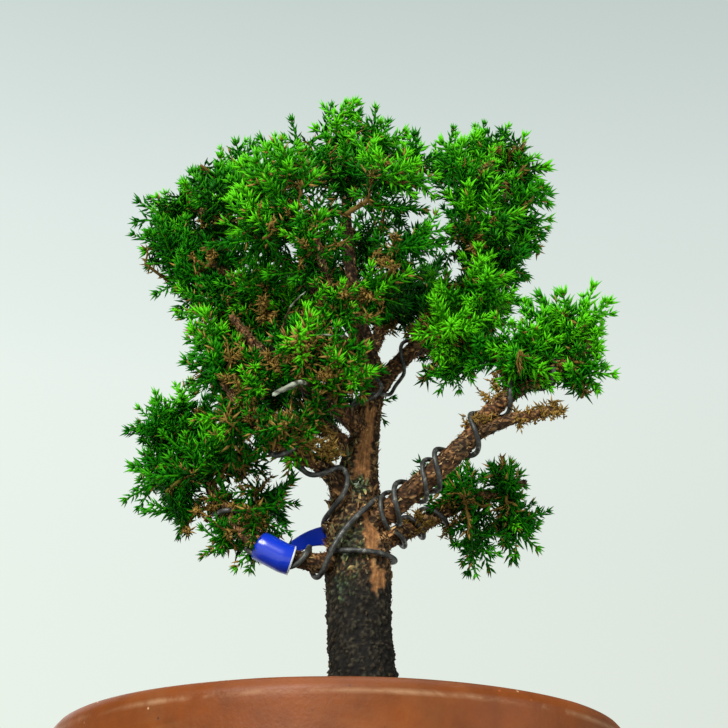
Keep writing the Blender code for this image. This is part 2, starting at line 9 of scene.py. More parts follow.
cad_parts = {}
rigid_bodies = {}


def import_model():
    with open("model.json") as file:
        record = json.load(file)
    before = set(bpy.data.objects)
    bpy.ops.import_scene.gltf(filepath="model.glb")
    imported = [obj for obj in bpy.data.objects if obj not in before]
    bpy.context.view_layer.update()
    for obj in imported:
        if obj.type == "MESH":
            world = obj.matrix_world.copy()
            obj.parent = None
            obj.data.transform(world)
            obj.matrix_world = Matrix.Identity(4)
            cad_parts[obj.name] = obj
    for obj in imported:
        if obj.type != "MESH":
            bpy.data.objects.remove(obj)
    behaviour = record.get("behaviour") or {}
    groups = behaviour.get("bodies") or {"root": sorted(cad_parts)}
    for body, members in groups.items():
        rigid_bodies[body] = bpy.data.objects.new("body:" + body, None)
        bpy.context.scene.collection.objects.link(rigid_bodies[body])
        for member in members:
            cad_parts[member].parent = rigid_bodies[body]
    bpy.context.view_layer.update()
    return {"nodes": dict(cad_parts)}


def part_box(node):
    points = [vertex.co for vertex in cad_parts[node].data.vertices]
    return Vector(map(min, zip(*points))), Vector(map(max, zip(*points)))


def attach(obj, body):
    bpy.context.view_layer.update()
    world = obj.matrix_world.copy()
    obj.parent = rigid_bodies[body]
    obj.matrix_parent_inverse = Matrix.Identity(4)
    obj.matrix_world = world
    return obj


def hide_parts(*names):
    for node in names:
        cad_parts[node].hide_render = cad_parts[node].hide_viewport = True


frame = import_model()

bl_info = {
    "name": "Wired Bonsai in a Clay Pot",
    "version": (1, 0, 0),
    "blender": (4, 5, 0),
    "location": "3D View > Sidebar > Bonsai",
    "description": "Builds the bark, needles, wires, soil and clay of a small potted bonsai",
    "category": "Add Mesh",
}

MM = 0.001
GOLDEN_ANGLE = math.radians(137.5)
LICHEN = (0.29, 0.32, 0.25)

# Heights on the trunk in mm: below the first its bark is old and black, and below the second it swells into roots.
OLD_BARK_TOP = 184
ROOT_FLARE_TOP = 128
CRACK_WIDTH = 0.30

FLAKES_PER_MM = 7

# Needles and sprays.
TREE_HEART = (8.0, 0.0, 255.0)
SPRAY_GAP, TIGHT_SPRAY_GAP = 6.6, 4.6
TRIES_PER_SPRAY = 80
NEEDLES_PER_MM = 1.75
DEAD_TWIG_REACH = 7
FEW_WITHERED = 0.018
# Tones of the needle material: the greens end at the first, and the browns run between the other two.
FRESHEST, DARK_DEAD, PALE_DEAD = 0.72, 0.775, 1.0

# Wires: the gap to the bark, how much thinner they are drawn, and how they settle.
WIRE_ROOM = 0.5 * MM
WIRE_DRAWN = 0.88
WIRE_STEP = 2.2 * MM
SETTLE_STEPS = 50
PUSH_STEPS = 15
POINTS_PER_TURN = 16

# The tag's loop round its branch: angles in degrees, places along the branch and sizes in mm.
TAG_START, TAG_TURN = 150, 335
TAG_NEAR, TAG_FAR = 33.2, 21.8
TAG_RADIUS, TAG_SAG, TAG_THICKNESS = 4.7, 1.1, 0.4
TAG_COLUMNS, TAG_ROWS, TAIL_ROWS = 17, 60, 20
TAIL_BULGE = 2.2
TAIL_END = [(-4.6, 4.2, 201.5), (-4.2, 4.4, 198.0), (-3.9, 4.6, 194.5)]

# Limbs of the tree: x, y, z and radius in millimetres, from the base outwards.
TRUNK = [
    (8.5, 1, 96, 9), (8.3, 1, 104, 15), (8.2, 0.5, 113, 17), (8, 0, 121, 14.3), (7.8, 0, 131, 12.1),
    (7.5, 0, 151, 11), (6.9, 0, 162, 10.5), (6.5, 0, 175, 10.6), (6.2, 0, 185, 10.8), (6.2, 0, 193.5, 10.4),
    (5.8, 0, 204, 9.3), (5.8, 0, 212.5, 7.7), (6.5, 0, 221.5, 6.4), (8.1, 0, 230, 5.2), (9.5, 0, 239.5, 4.5),
    (10.9, 0, 247, 4.0), (11.6, 0, 254, 3.5), (9.5, 2, 264, 3.0), (6.7, 4, 276.5, 2.7), (4, 4, 292, 2.3),
    (2.5, 2, 307, 2.0), (1.7, 0, 322, 1.6), (3, 0, 340, 1.1),
]
BRANCHES = {
    "branch_lower_left": [
        (4, 1, 186, 5.0), (0.3, -2, 187, 4.2), (-6, -6, 185.5, 3.3), (-12.6, -8, 186, 2.9), (-17.4, -9, 187.3, 2.8),
        (-23, -9, 190.3, 2.8), (-29, -8, 193.7, 2.75), (-34, -6, 198.4, 2.6), (-38.7, -4, 205.3, 2.3),
        (-44, -2, 215, 2.0), (-48.7, 0, 225, 1.6), (-52, 1, 233, 1.2),
    ],
    "branch_mid_left": [
        (5, 1, 204, 5), (1.5, -5, 208.5, 4.2), (-0.8, -9, 212.6, 3.5), (-6.3, -14, 216.4, 2.8),
        (-12.6, -20, 217.3, 2.4), (-19, -24, 219.3, 2.1), (-26, -27, 224.4, 1.7), (-32, -28, 232, 1.4),
        (-38, -28, 240, 1.0),
    ],
    "branch_mid_left_upper": [
        (8.5, 0, 233, 4.0), (0, -8, 238, 2.8), (-10, -15, 243, 2.3), (-20, -20, 249, 2.0), (-29, -22, 257, 1.6),
        (-36, -22, 266, 1.2),
    ],
    "branch_lower_right": [
        (8, 2, 194, 5), (13, 6, 196, 3.8), (20, 10, 200.4, 3.2), (27, 13, 204.5, 3.0), (34, 16, 209.4, 2.8),
        (41, 19, 214, 2.5), (48, 21, 217, 2.1), (57, 22, 219.5, 1.7), (64, 22, 223, 1.2),
    ],
    "branch_right": [
        (8, -1, 196, 5.5), (12, -5, 200.5, 4.4), (16.7, -7, 203.2, 3.9), (23.2, -10, 208.1, 3.7),
        (29.8, -12, 213.3, 3.6), (36.3, -14, 218.8, 3.5), (43, -15, 225.4, 3.3), (48.7, -16, 232.8, 3.0),
        (54, -17, 238, 2.7), (60.4, -18, 242, 2.3), (69, -19, 246.6, 2.0), (77, -20, 250.5, 1.6), (84, -20, 256, 1.1),
    ],
    "branch_upper_right": [
        (11.4, 0, 247, 3.6), (17.7, -2, 255, 2.9), (23.8, -6, 260, 2.7), (30, -8, 266, 2.4),
        (39.5, -8, 278.7, 2.1), (50.5, -5, 299.4, 1.8), (58.6, 0, 322, 1.4), (60, 0, 332, 1.0),
    ],
    "branch_crown_left": [
        (6.9, 3, 275, 2.6), (-5.5, 2, 285.3, 2.2), (-19.8, 2, 298.2, 1.8), (-34.2, 2, 310, 1.6),
        (-48.7, 2, 317, 1.25), (-58, 2, 320, 0.9),
    ],
    "branch_left_upper": [
        (10, 1, 261, 3), (-4, -3, 268, 2.3), (-18, -8, 274, 2), (-32, -11, 282, 1.6), (-44, -12, 291, 1.1),
    ],
    "branch_front": [
        (10.8, 0, 256, 3), (6, -12, 262, 2.2), (0, -24, 268, 1.9), (-5, -36, 276, 1.5), (-8, -44, 286, 1.1),
    ],
    "branch_crown_back": [
        (9.5, 2, 264, 2.8), (12, 14, 272, 2.3), (14, 28, 284, 2.0), (13, 40, 296, 1.6), (10, 50, 306, 1.1),
    ],
    "branch_low_back": [
        (7, 0, 222, 4), (5, 12, 230, 3), (0, 24, 239, 2.6), (-5, 34, 248, 2.2), (-9, 42, 257, 1.7),
        (-12, 48, 265, 1.2),
    ],
    "branch_right_twig": [
        (43, -15, 225.4, 2.2), (49, -18, 227.5, 2.0), (56, -20, 230, 1.9), (64, -21, 231.5, 1.7), (71, -21, 233, 1.4),
    ],
    "branch_right_back": [
        (23.8, -6, 260, 2.5), (32, 6, 268, 2.0), (42, 18, 278, 1.6), (50, 28, 290, 1.1),
    ],
}

# The foliage pads: the limbs that each one grows on, the share of its needles that are withered, its lobes, and
# its clumps of dead needles. A lobe is a centre and half-size in mm, a number of sprays, and how fresh its green
# is (0 old, 1 this year's). A clump is a centre and half-size in mm, and a number of dead shoots.
# Lobes near the tree's heart have the lowest freshness: their darkest greens are partly old needles, partly painted
# shade inside the crown.
PADS = {
    "lower_left_outer": (["branch_lower_left"], FEW_WITHERED, [
        ((-62, -2, 234), (9, 12, 8), 7, 0.54), ((-60, 2, 218), (10, 12, 8), 8, 0.46),
        ((-54, 2, 246), (3, 5, 5), 3, 0.62), ((-54, -3, 203), (9, 9, 5), 4, 0.48),
        ((-46, 4, 236), (9, 12, 7), 5, 0.42), ((-48, -16, 220), (11, 6, 11), 4, 0.45),
    ], [
        ((-44, -6, 200), (10, 9, 7), 12),
    ]),
    "lower_left_inner": (["branch_lower_left"], 0.1, [
        ((-34, -6, 224), (11, 13, 8), 7, 0.4), ((-21, -3, 211), (7, 11, 9), 5, 0.46),
        ((-34, 4, 208), (11, 12, 9), 4, 0.34), ((-27, 5, 190), (4, 5, 5), 3, 0.5),
        ((-42, -4, 194), (8, 6, 3), 3, 0.46),
    ], [
        ((-28, -10, 222), (13, 12, 8), 9), ((-32, -4, 199), (8, 8, 6), 8), ((-30, -9, 197), (9, 6, 6), 12),
        ((-38, -7, 206), (8, 7, 7), 12),
    ]),
    "mid_left": (["branch_mid_left", "branch_mid_left_upper"], 0.12, [
        ((-40, -22, 249), (10, 14, 11), 10, 0.48), ((-26, -28, 242), (12, 12, 10), 9, 0.47),
        ((-44, -14, 261), (7, 12, 7), 4, 0.44), ((-32, -26, 227), (11, 9, 7), 6, 0.45),
        ((-20, -27, 219), (9, 8, 5), 3, 0.42),
    ], [
        ((-26, -28, 226), (15, 9, 9), 34), ((-30, -34, 244), (14, 8, 12), 12),
    ]),
    "mid_left_front": (["branch_mid_left", "branch_mid_left_upper"], 0.22, [
        ((-8, -36, 248), (13, 12, 11), 9, 0.46), ((5, -28, 243), (8, 10, 9), 6, 0.55),
        ((-10, -26, 228), (11, 9, 6), 5, 0.44), ((4, -22, 252), (10, 8, 8), 3, 0.42),
    ], [
        ((-8, -21, 220), (12, 7, 6), 26), ((-1, -11, 225), (6, 6, 6), 16), ((-14, -22, 226), (10, 8, 5), 14),
        ((-8, -42, 246), (15, 8, 14), 30),
    ]),
    "lower_right": (["branch_lower_right"], 0.06, [
        ((42, 16, 222), (8, 11, 7), 5, 0.46), ((58, 20, 222), (8, 12, 7), 6, 0.52),
        ((60, 22, 206), (8, 11, 7), 6, 0.52), ((49, 18, 197), (8, 10, 8), 5, 0.46),
        ((33, 12, 225), (4, 6, 4), 3, 0.45),
    ], [
        ((36, 14, 210), (10, 10, 9), 20), ((24, 10, 204), (9, 7, 6), 14),
    ]),
    "right_tip": (["branch_right", "branch_right_twig"], FEW_WITHERED, [
        ((73, -19, 264), (10, 13, 8), 8, 0.56), ((83, -19, 268), (6, 9, 4), 4, 0.62),
        ((79, -20, 249), (8, 12, 6), 6, 0.52), ((66, -18, 258), (7, 12, 7), 5, 0.5),
        ((61, -21, 247), (8, 8, 5), 4, 0.54),
    ], [
        ((68, -19, 247), (9, 8, 5), 12), ((69, -21, 233), (5, 3, 3), 12), ((60, -20, 231), (7, 4, 4), 10),
    ]),
    "right_inner": (["branch_right"], FEW_WITHERED, [
        ((58, -20, 257), (10, 12, 8), 8, 0.58), ((47, -18, 261), (9, 12, 8), 5, 0.62),
    ], [
        ((52, -17, 242), (10, 7, 7), 16), ((46, -16, 231), (8, 6, 5), 12),
    ]),
    "upper_right": (["branch_upper_right"], FEW_WITHERED, [
        ((48, -16, 277), (13, 14, 11), 11, 0.62), ((36, -18, 262), (9, 12, 10), 9, 0.68),
        ((35, -16, 249), (3, 4, 5), 3, 0.66), ((30, -6, 276), (9, 14, 10), 4, 0.42),
    ], [
        ((28, -14, 266), (9, 8, 9), 14), ((46, -12, 262), (10, 8, 6), 10),
    ]),
    "crown_left": (["branch_crown_left", "branch_left_upper"], FEW_WITHERED, [
        ((-61, 2, 317), (9, 15, 8), 9, 0.48), ((-59, -2, 301), (10, 15, 7), 9, 0.44),
        ((-50, -2, 288), (12, 16, 9), 8, 0.4), ((-44, 18, 306), (13, 14, 15), 7, 0.36),
        ((-42, -18, 310), (11, 10, 12), 7, 0.42),
    ], [
        ((-44, -18, 296), (12, 10, 12), 8),
    ]),
    "crown_left_low": (["branch_left_upper"], 0.08, [
        ((-45, -6, 272), (11, 16, 8), 9, 0.42), ((-27, -20, 276), (12, 14, 12), 10, 0.45),
        ((-32, -12, 260), (12, 14, 8), 8, 0.42), ((-14, -18, 266), (9, 12, 11), 5, 0.42),
    ], [
        ((-22, -30, 266), (16, 10, 12), 16),
    ]),
    "crown_left_top": (["branch_crown_left", "trunk"], FEW_WITHERED, [
        ((-38, 6, 337), (8, 14, 11), 9, 0.5), ((-22, 5, 336), (11, 15, 12), 11, 0.5),
        ((-28, -22, 312), (14, 12, 13), 9, 0.45), ((-48, 2, 330), (6, 10, 5), 4, 0.5),
    ], [
        ((-26, -20, 318), (14, 8, 10), 6),
    ]),
    "crown_top": (["trunk"], FEW_WITHERED, [
        ((-6, 2, 341), (9, 14, 10), 8, 0.52), ((14, 4, 343), (11, 15, 11), 10, 0.54),
        ((3, 0, 357), (2, 3, 5), 3, 0.62), ((4, -24, 324), (16, 10, 12), 8, 0.5),
        ((29, -4, 332), (10, 15, 10), 8, 0.48),
    ], [
        ((8, -22, 328), (16, 8, 10), 6),
    ]),
    "crown_right_top": (["branch_upper_right", "trunk"], FEW_WITHERED, [
        ((39, 2, 341), (8, 15, 9), 7, 0.54), ((55, 0, 343), (9, 15, 10), 9, 0.56),
        ((67, 2, 332), (7, 13, 10), 8, 0.56), ((44, -20, 320), (15, 12, 12), 9, 0.54),
    ], [
        ((48, -18, 326), (14, 8, 10), 6),
    ]),
    "crown_right": (["branch_upper_right"], FEW_WITHERED, [
        ((63, -2, 313), (9, 16, 11), 9, 0.54), ((57, -6, 296), (11, 16, 9), 9, 0.52),
        ((42, -20, 302), (13, 12, 13), 8, 0.48),
    ], [
        ((48, -22, 298), (12, 8, 14), 8),
    ]),
    "crown_front": (["branch_front"], 0.05, [
        ((-16, -40, 302), (14, 12, 14), 9, 0.52), ((18, -40, 310), (13, 12, 13), 8, 0.56),
        ((-8, -38, 284), (13, 12, 12), 8, 0.52), ((24, -34, 290), (9, 12, 12), 5, 0.5),
        ((-28, -34, 290), (12, 12, 12), 7, 0.48), ((2, -33, 262), (12, 8, 9), 6, 0.52),
        ((16, -30, 272), (8, 8, 8), 4, 0.5),
    ], [
        ((12, -38, 286), (16, 9, 15), 9), ((10, -30, 272), (12, 8, 8), 8), ((-18, -46, 290), (12, 6, 12), 8),
        ((2, -36, 264), (16, 8, 8), 14),
    ]),
    "crown_back": (["branch_crown_back"], FEW_WITHERED, [
        ((-16, 44, 306), (17, 14, 18), 11, 0.42), ((24, 44, 308), (16, 14, 18), 11, 0.44),
        ((4, 34, 328), (20, 15, 12), 9, 0.48), ((-8, 18, 300), (20, 9, 14), 9, 0.24),
        ((26, 16, 294), (16, 9, 14), 9, 0.24), ((-38, 30, 296), (14, 15, 14), 6, 0.4),
    ], [
        ((0, 50, 296), (24, 8, 16), 12),
    ]),
    "low_back": (["branch_low_back"], FEW_WITHERED, [
        ((-22, 16, 274), (16, 9, 12), 7, 0.22), ((-28, 44, 266), (16, 14, 14), 12, 0.42),
        ((-2, 46, 264), (16, 14, 14), 12, 0.42),
    ], [
        ((-14, 50, 256), (20, 8, 10), 10),
    ]),
    "right_back": (["branch_right_back"], FEW_WITHERED, [
        ((34, 12, 272), (13, 9, 10), 6, 0.24), ((48, 32, 286), (18, 15, 16), 13, 0.45),
        ((52, 26, 308), (16, 16, 12), 10, 0.48),
    ], [
        ((46, 38, 276), (14, 8, 10), 8),
    ]),
}


# ---------------------------------------------------------------- settings

def length_setting(name, description, millimetres):
    return bpy.props.FloatProperty(name=name, description=description, default=millimetres * MM, min=0.0001,
                                   unit="LENGTH")


def colour_setting(name, description, colour):
    return bpy.props.FloatVectorProperty(name=name, description=description, default=colour, subtype="COLOR", size=3)


class BonsaiSettings(bpy.types.PropertyGroup):
    needle_length: length_setting("Needle Length", "Length of a full-grown needle", 5.0)
    needle_width: length_setting("Needle Width", "Width of a needle at its widest", 1.0)
    spray_length: length_setting("Spray Length", "Length of the leading shoot of a spray", 19)
    fresh_green: colour_setting("Fresh Green", "Colour of this year's needles", (0.12, 0.64, 0.006))
    middle_green: colour_setting("Middle Green", "Colour of most needles", (0.006, 0.155, 0.0010))
    # The oldest green is darker than the needles' own colour: partly old needles, partly painted shade for the inside
    # of the tree.
    old_shaded_green: colour_setting("Old Green", "Colour of the oldest needles, deep in the tree", (0.002, 0.028, 0.0010))
    dead_brown: colour_setting("Dead Brown", "Colour of dead needles and twigs", (0.172, 0.104, 0.024))
    bark_dark: colour_setting("Dark Bark", "Colour of the old bark at the foot of the trunk", (0.031, 0.0255, 0.0150))
    bark_brown: colour_setting("Brown Bark", "Colour of the flaking bark higher up", (0.13, 0.082, 0.036))
    bark_red: colour_setting("Fresh Bark", "Colour of smooth bark where a plate has come away", (0.29, 0.130, 0.046))
    clay_colour: colour_setting("Clay", "Colour of the fired clay", (0.165, 0.038, 0.003))
    tag_blue: colour_setting("Tag Blue", "Colour of the plastic tag", (0.003, 0.030, 0.47))
    rim_radius: length_setting("Rim Radius", "Outer radius of the pot's rim, from the frame",
                               float(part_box("pot")[1][0]) / MM)
    seed: bpy.props.IntProperty(name="Seed", description="Which of the possible trees to grow", default=7, min=0)


def settings():
    return bpy.context.scene.bonsai


# ---------------------------------------------------------------- mesh helpers

def deselect_all():
    for thing in bpy.context.view_layer.objects:
        thing.select_set(False)


def mesh_object(name, verts, faces, material, smooth=True):
    """An object from an array of points and a list of index arrays, each with as many columns as corners."""
    mesh = bpy.data.meshes.new(name)
    loops = np.concatenate([part.ravel() for part in faces]).astype(np.int32)
    totals = np.concatenate([np.full(len(part), part.shape[1]) for part in faces]).astype(np.int32)
    starts = np.concatenate([[0], np.cumsum(totals)[:-1]]).astype(np.int32)
    mesh.vertices.add(len(verts))
    mesh.vertices.foreach_set("co", np.asarray(verts, dtype=np.float32).ravel())
    mesh.loops.add(len(loops))
    mesh.loops.foreach_set("vertex_index", loops)
    mesh.polygons.add(len(totals))
    mesh.polygons.foreach_set("loop_start", starts)
    mesh.polygons.foreach_set("loop_total", totals)
    mesh.polygons.foreach_set("use_smooth", np.full(len(totals), smooth))
    mesh.update(calc_edges=True)
    mesh.validate()
    thing = bpy.data.objects.new(name, mesh)
    bpy.context.scene.collection.objects.link(thing)
    mesh.materials.append(material)
    return thing


def unit(vectors):
    return vectors / np.maximum(np.linalg.norm(vectors, axis=-1, keepdims=True), 1e-9)


def clamped(value):
    return min(1.0, max(0.0, value))


def distances_along(points):
    """How far along a line each of its points is."""
    return np.concatenate([[0], np.cumsum(np.linalg.norm(np.diff(points[:, :3], axis=0), axis=1))])


def turned(side, other, angle):
    """The directions at some angles from side towards other."""
    return side * np.cos(angle)[:, None] + other * np.sin(angle)[:, None]


def band_faces(bands, around, closed=False):
    """Faces between rings of points, and from the last ring to the first one if they are closed."""
    i = np.arange(around)
    j = (i + 1) % around
    quads = []
    for k in range(bands):
        here, there = k * around, (0 if closed and k == bands - 1 else k + 1) * around
        quads.append(np.stack([i + here, j + here, j + there, i + there], 1))
    return np.vstack(quads)


def taken_apart(thing):
    """The points and faces of a model object, which is then removed."""
    verts = np.array([vert.co for vert in thing.data.vertices])
    faces = np.array([list(face.vertices) for face in thing.data.polygons])
    bpy.data.objects.remove(thing)
    return verts, faces


def smooth_path(table, step=7 * MM):
    """Rows of x, y, z, radius in metres, on a curve through the table's points and about step apart."""
    rows = np.array(table, dtype=float) * MM
    padded = np.vstack([2 * rows[0] - rows[1], rows, 2 * rows[-1] - rows[-2]])
    out = []
    for i in range(1, len(padded) - 2):
        before, here, there, after = padded[i - 1:i + 3]
        parts = max(1, round(np.linalg.norm(there[:3] - here[:3]) / step))
        for part in range(parts):
            t = part / parts
            blend = (2 * here + (there - before) * t + (2 * before - 5 * here + 4 * there - after) * t * t
                     + (3 * here - before - 3 * there + after) * t ** 3)
            out.append(blend / 2)
    out.append(rows[-1])
    return np.array(out)


def tangents(points):
    return unit(np.gradient(points[:, :3], axis=0))


def limb_tables():
    return {"trunk": TRUNK, **BRANCHES}


def frames_along(path):
    """Two directions across the path at each point, carried along it without twist."""
    directions = tangents(path)
    side = np.cross(directions[0], (0.0, 1.0, 0.0))
    if np.linalg.norm(side) < 0.2:
        side = np.cross(directions[0], (1.0, 0.0, 0.0))
    sides = []
    for direction in directions:
        side = side - direction * np.dot(side, direction)
        side = side / np.linalg.norm(side)
        sides.append(side)
    sides = np.array(sides)
    return directions, sides, np.cross(directions, sides)


def tube_arrays(path, around, tip=True):
    """Points and faces of a closed tube along rows of x, y, z, radius."""
    directions, sides, others = frames_along(path)
    angle = 2 * np.pi * np.arange(around) / around
    ring = (sides[:, None, :] * np.cos(angle)[None, :, None] + others[:, None, :] * np.sin(angle)[None, :, None])
    verts = path[:, None, :3] + ring * path[:, None, 3:4]
    count = len(path)
    verts = verts.reshape(-1, 3)
    near = path[0, :3] - directions[0] * path[0, 3] * 0.3
    far = path[-1, :3] + directions[-1] * path[-1, 3] * (0.9 if tip else 0.3)
    verts = np.vstack([verts, near, far])
    i = np.arange(around)
    j = (i + 1) % around
    top = (count - 1) * around
    caps = [np.stack([j, i, np.full(around, count * around)], 1),
            np.stack([i + top, j + top, np.full(around, count * around + 1)], 1)]
    return verts, [band_faces(count - 1, around), np.vstack(caps)]


class Builder:
    """Collects the points and faces of many small shapes for one mesh."""

    def __init__(self):
        self.verts = []
        self.faces = {3: [], 4: []}
        self.marks = []
        self.count = 0

    def add(self, verts, faces, mark=None):
        for part in faces:
            self.faces[part.shape[1]].append(part + self.count)
        self.verts.append(verts)
        if mark is not None:
            self.marks.append(np.broadcast_to(mark, (len(verts), 2)))
        self.count += len(verts)

    def object(self, name, material, smooth=True):
        faces = [np.vstack(parts) for parts in self.faces.values() if parts]
        thing = mesh_object(name, np.vstack(self.verts), faces, material, smooth)
        if self.marks:
            set_uv(thing.data, np.vstack(self.marks))
        return thing


def set_uv(mesh, per_vertex):
    layer = mesh.uv_layers.new(name="OFBake")
    index = np.empty(len(mesh.loops), dtype=np.int32)
    mesh.loops.foreach_get("vertex_index", index)
    layer.data.foreach_set("uv", per_vertex[index].astype(np.float32).ravel())


def set_mark(mesh, name, values):
    """A colour attribute on the points."""
    layer = mesh.color_attributes.new(name=name, type="FLOAT_COLOR", domain="POINT")
    rgba = np.ones((len(mesh.vertices), 4), dtype=np.float32)
    rgba[:, :values.shape[1]] = values
    layer.data.foreach_set("color", rgba.ravel())


# ---------------------------------------------------------------- materials

def new_material(name):
    old = bpy.data.materials.get(name)
    if old:
        bpy.data.materials.remove(old)
    material = bpy.data.materials.new(name)
    material.use_nodes = True
    return material, material.node_tree, material.node_tree.nodes["Principled BSDF"]


def feed(tree, made, inputs):
    """Sets a node's inputs: another node's output is linked, and a number or a colour is the input's own value."""
    for name, value in inputs.items():
        socket = made.inputs[name]
        if isinstance(value, bpy.types.NodeSocket):
            tree.links.new(value, socket)
        elif socket.type == "RGBA":
            socket.default_value = (*value, 1.0)
        else:
            socket.default_value = value


def node(tree, kind, inputs=None, **settings_of_node):
    made = tree.nodes.new(kind)
    for key, value in settings_of_node.items():
        setattr(made, key, value)
    feed(tree, made, inputs or {})
    return made


def scaled(colour, amount):
    return [min(1.0, c * amount) for c in colour]


def blended(first, second, share):
    return [(1 - share) * a + share * b for a, b in zip(first, second)]


def ramp(tree, source, stops):
    """The colour that a source picks between stops, each a place and a colour."""
    made = node(tree, "ShaderNodeValToRGB", {"Fac": source})
    elements = made.color_ramp.elements
    while len(elements) < len(stops):
        elements.new(0.5)
    for element, (place, colour) in zip(elements, stops):
        element.position = place
        element.color = (*colour, 1.0)
    return made.outputs["Color"]


def greys(tree, source, *stops):
    """A mask or a roughness from a source, by stops that are each a place and a value."""
    return ramp(tree, source, [(place, (value, value, value)) for place, value in stops])


def mix_colour(tree, factor, first, second, blend="MIX"):
    made = node(tree, "ShaderNodeMix", data_type="RGBA", blend_type=blend)
    feed(tree, made, {0: factor, 6: first, 7: second})
    return made.outputs[2]


def maths(tree, operation, first, second=0.0, clamp=False):
    return node(tree, "ShaderNodeMath", {0: first, 1: second}, operation=operation, use_clamp=clamp).outputs[0]


def object_place(tree):
    return node(tree, "ShaderNodeTexCoord").outputs["Object"]


def split_axes(tree, vector):
    return node(tree, "ShaderNodeSeparateXYZ", {0: vector}).outputs


def grain_group():
    """Mottling and grit: two sizes of noise on the object's own coordinates, as masks and a height."""
    name = "mottle_and_grit"
    group = bpy.data.node_groups.get(name)
    if group:
        return group
    group = bpy.data.node_groups.new(name, "ShaderNodeTree")
    for label, value in (("Patch Size", 90.0), ("Grit Size", 1200.0)):
        socket = group.interface.new_socket(name=label, in_out="INPUT", socket_type="NodeSocketFloat")
        socket.default_value = value
    for label in ("Patches", "Grit", "Height"):
        group.interface.new_socket(name=label, in_out="OUTPUT", socket_type="NodeSocketFloat")
    sizes = node(group, "NodeGroupInput").outputs
    place = object_place(group)
    patches = node(group, "ShaderNodeTexNoise",
                   {"Vector": place, "Scale": sizes["Patch Size"], "Detail": 5.0, "Roughness": 0.6}).outputs["Fac"]
    grit = node(group, "ShaderNodeTexNoise",
                {"Vector": place, "Scale": sizes["Grit Size"], "Detail": 3.0}).outputs["Fac"]
    node(group, "NodeGroupOutput", {"Patches": patches, "Grit": grit, "Height": maths(group, "ADD", patches, grit)})
    return group


def add_grain(tree, patch_size, grit_size):
    made = tree.nodes.new("ShaderNodeGroup")
    made.node_tree = grain_group()
    feed(tree, made, {"Patch Size": patch_size, "Grit Size": grit_size})
    return made.outputs


def add_bump(tree, shader, height, strength, distance):
    bump = node(tree, "ShaderNodeBump", {"Strength": strength, "Distance": distance, "Height": height})
    feed(tree, shader, {"Normal": bump.outputs["Normal"]})


def needle_material():
    """Colour by the piece's own map: u runs from a needle's base to its tip, v picks its age. Its lowest values, the
    old green and a darker copy of it, are partly painted shade inside the tree.
    """
    s = settings()
    material, tree, shader = new_material("needles")
    old, middle, fresh, dead = s.old_shaded_green, s.middle_green, s.fresh_green, s.dead_brown
    lively = blended(middle, fresh, 0.38)
    along_needle, age, _ = split_axes(tree, node(tree, "ShaderNodeUVMap", uv_map="OFBake").outputs["UV"])
    base = ramp(tree, age, [(0.0, scaled(old, 0.5)), (0.20, old), (0.45, scaled(middle, 0.8)), (0.60, middle),
                            (0.72, lively), (0.78, scaled(dead, 0.3)), (0.90, dead), (1.0, scaled(dead, 1.5))])
    tip = ramp(tree, age, [(0.0, old), (0.20, blended(old, middle, 0.3)), (0.45, middle), (0.60, lively),
                           (0.72, fresh), (0.78, dead), (0.90, scaled(dead, 1.6)), (1.0, scaled(dead, 2.3))])
    feed(tree, shader, {"Base Color": mix_colour(tree, along_needle, base, tip), "Roughness": 0.42,
                        "Specular IOR Level": 0.05})
    return material


def bark_material():
    """Colour by the bark's marks: tone in red, fresh bark in green, old bark in blue, and growth in alpha. The tone
    paints shade and highlights: near-black in the cracks, pale yellow-grey on raised flakes.
    """
    s = settings()
    material, tree, shader = new_material("flaking_bark")
    marks = node(tree, "ShaderNodeVertexColor", layer_name="bark_marks").outputs
    tone, is_fresh, is_old = node(tree, "ShaderNodeSeparateColor", {0: marks["Color"]}).outputs
    grain = add_grain(tree, 420.0, 2400.0)
    patch = greys(tree, grain["Patches"], (0.36, 0), (0.64, 1))
    brown = mix_colour(tree, patch, scaled(s.bark_brown, 0.7), scaled(s.bark_brown, 1.35))
    fresh = mix_colour(tree, patch, scaled(s.bark_red, 0.75), scaled(s.bark_red, 1.25))
    dark = mix_colour(tree, patch, scaled(s.bark_dark, 0.65), scaled(s.bark_dark, 1.5))
    colour = mix_colour(tree, is_old, mix_colour(tree, is_fresh, brown, fresh), dark)
    ragged = node(tree, "ShaderNodeTexNoise", {"Vector": object_place(tree), "Scale": 620.0, "Detail": 6.0,
                                               "Roughness": 0.65}).outputs["Fac"]
    growth = maths(tree, "ADD", ragged, maths(tree, "MULTIPLY", marks["Alpha"], 0.38))
    moss = maths(tree, "MULTIPLY", greys(tree, growth, (0.66, 0), (0.76, 1)), 0.85)
    greens = ramp(tree, grain["Patches"], [(0.40, (0.070, 0.085, 0.018)), (0.52, (0.052, 0.092, 0.036)),
                                           (0.62, (0.085, 0.125, 0.085))])
    colour = mix_colour(tree, moss, colour, greens)
    colour = mix_colour(tree, greys(tree, growth, (0.90, 0), (0.96, 1)), colour, LICHEN)
    # painted shade and highlight: the tone scales the colour down to near-black in the cracks and up to three times,
    # towards yellow-grey, on raised flakes
    depth = ramp(tree, tone, [(0.0, (0.05, 0.042, 0.04)), (0.22, (0.22, 0.20, 0.18)), (0.5, (0.85, 0.84, 0.83)),
                              (0.75, (1.65, 1.8, 1.8)), (1.0, (2.5, 3.3, 3.5))])
    feed(tree, shader, {"Base Color": mix_colour(tree, 1.0, colour, depth, "MULTIPLY"), "Roughness": 0.75,
                        "Specular IOR Level": 0.2})
    add_bump(tree, shader, grain["Height"], 0.7, 0.0003)
    return material


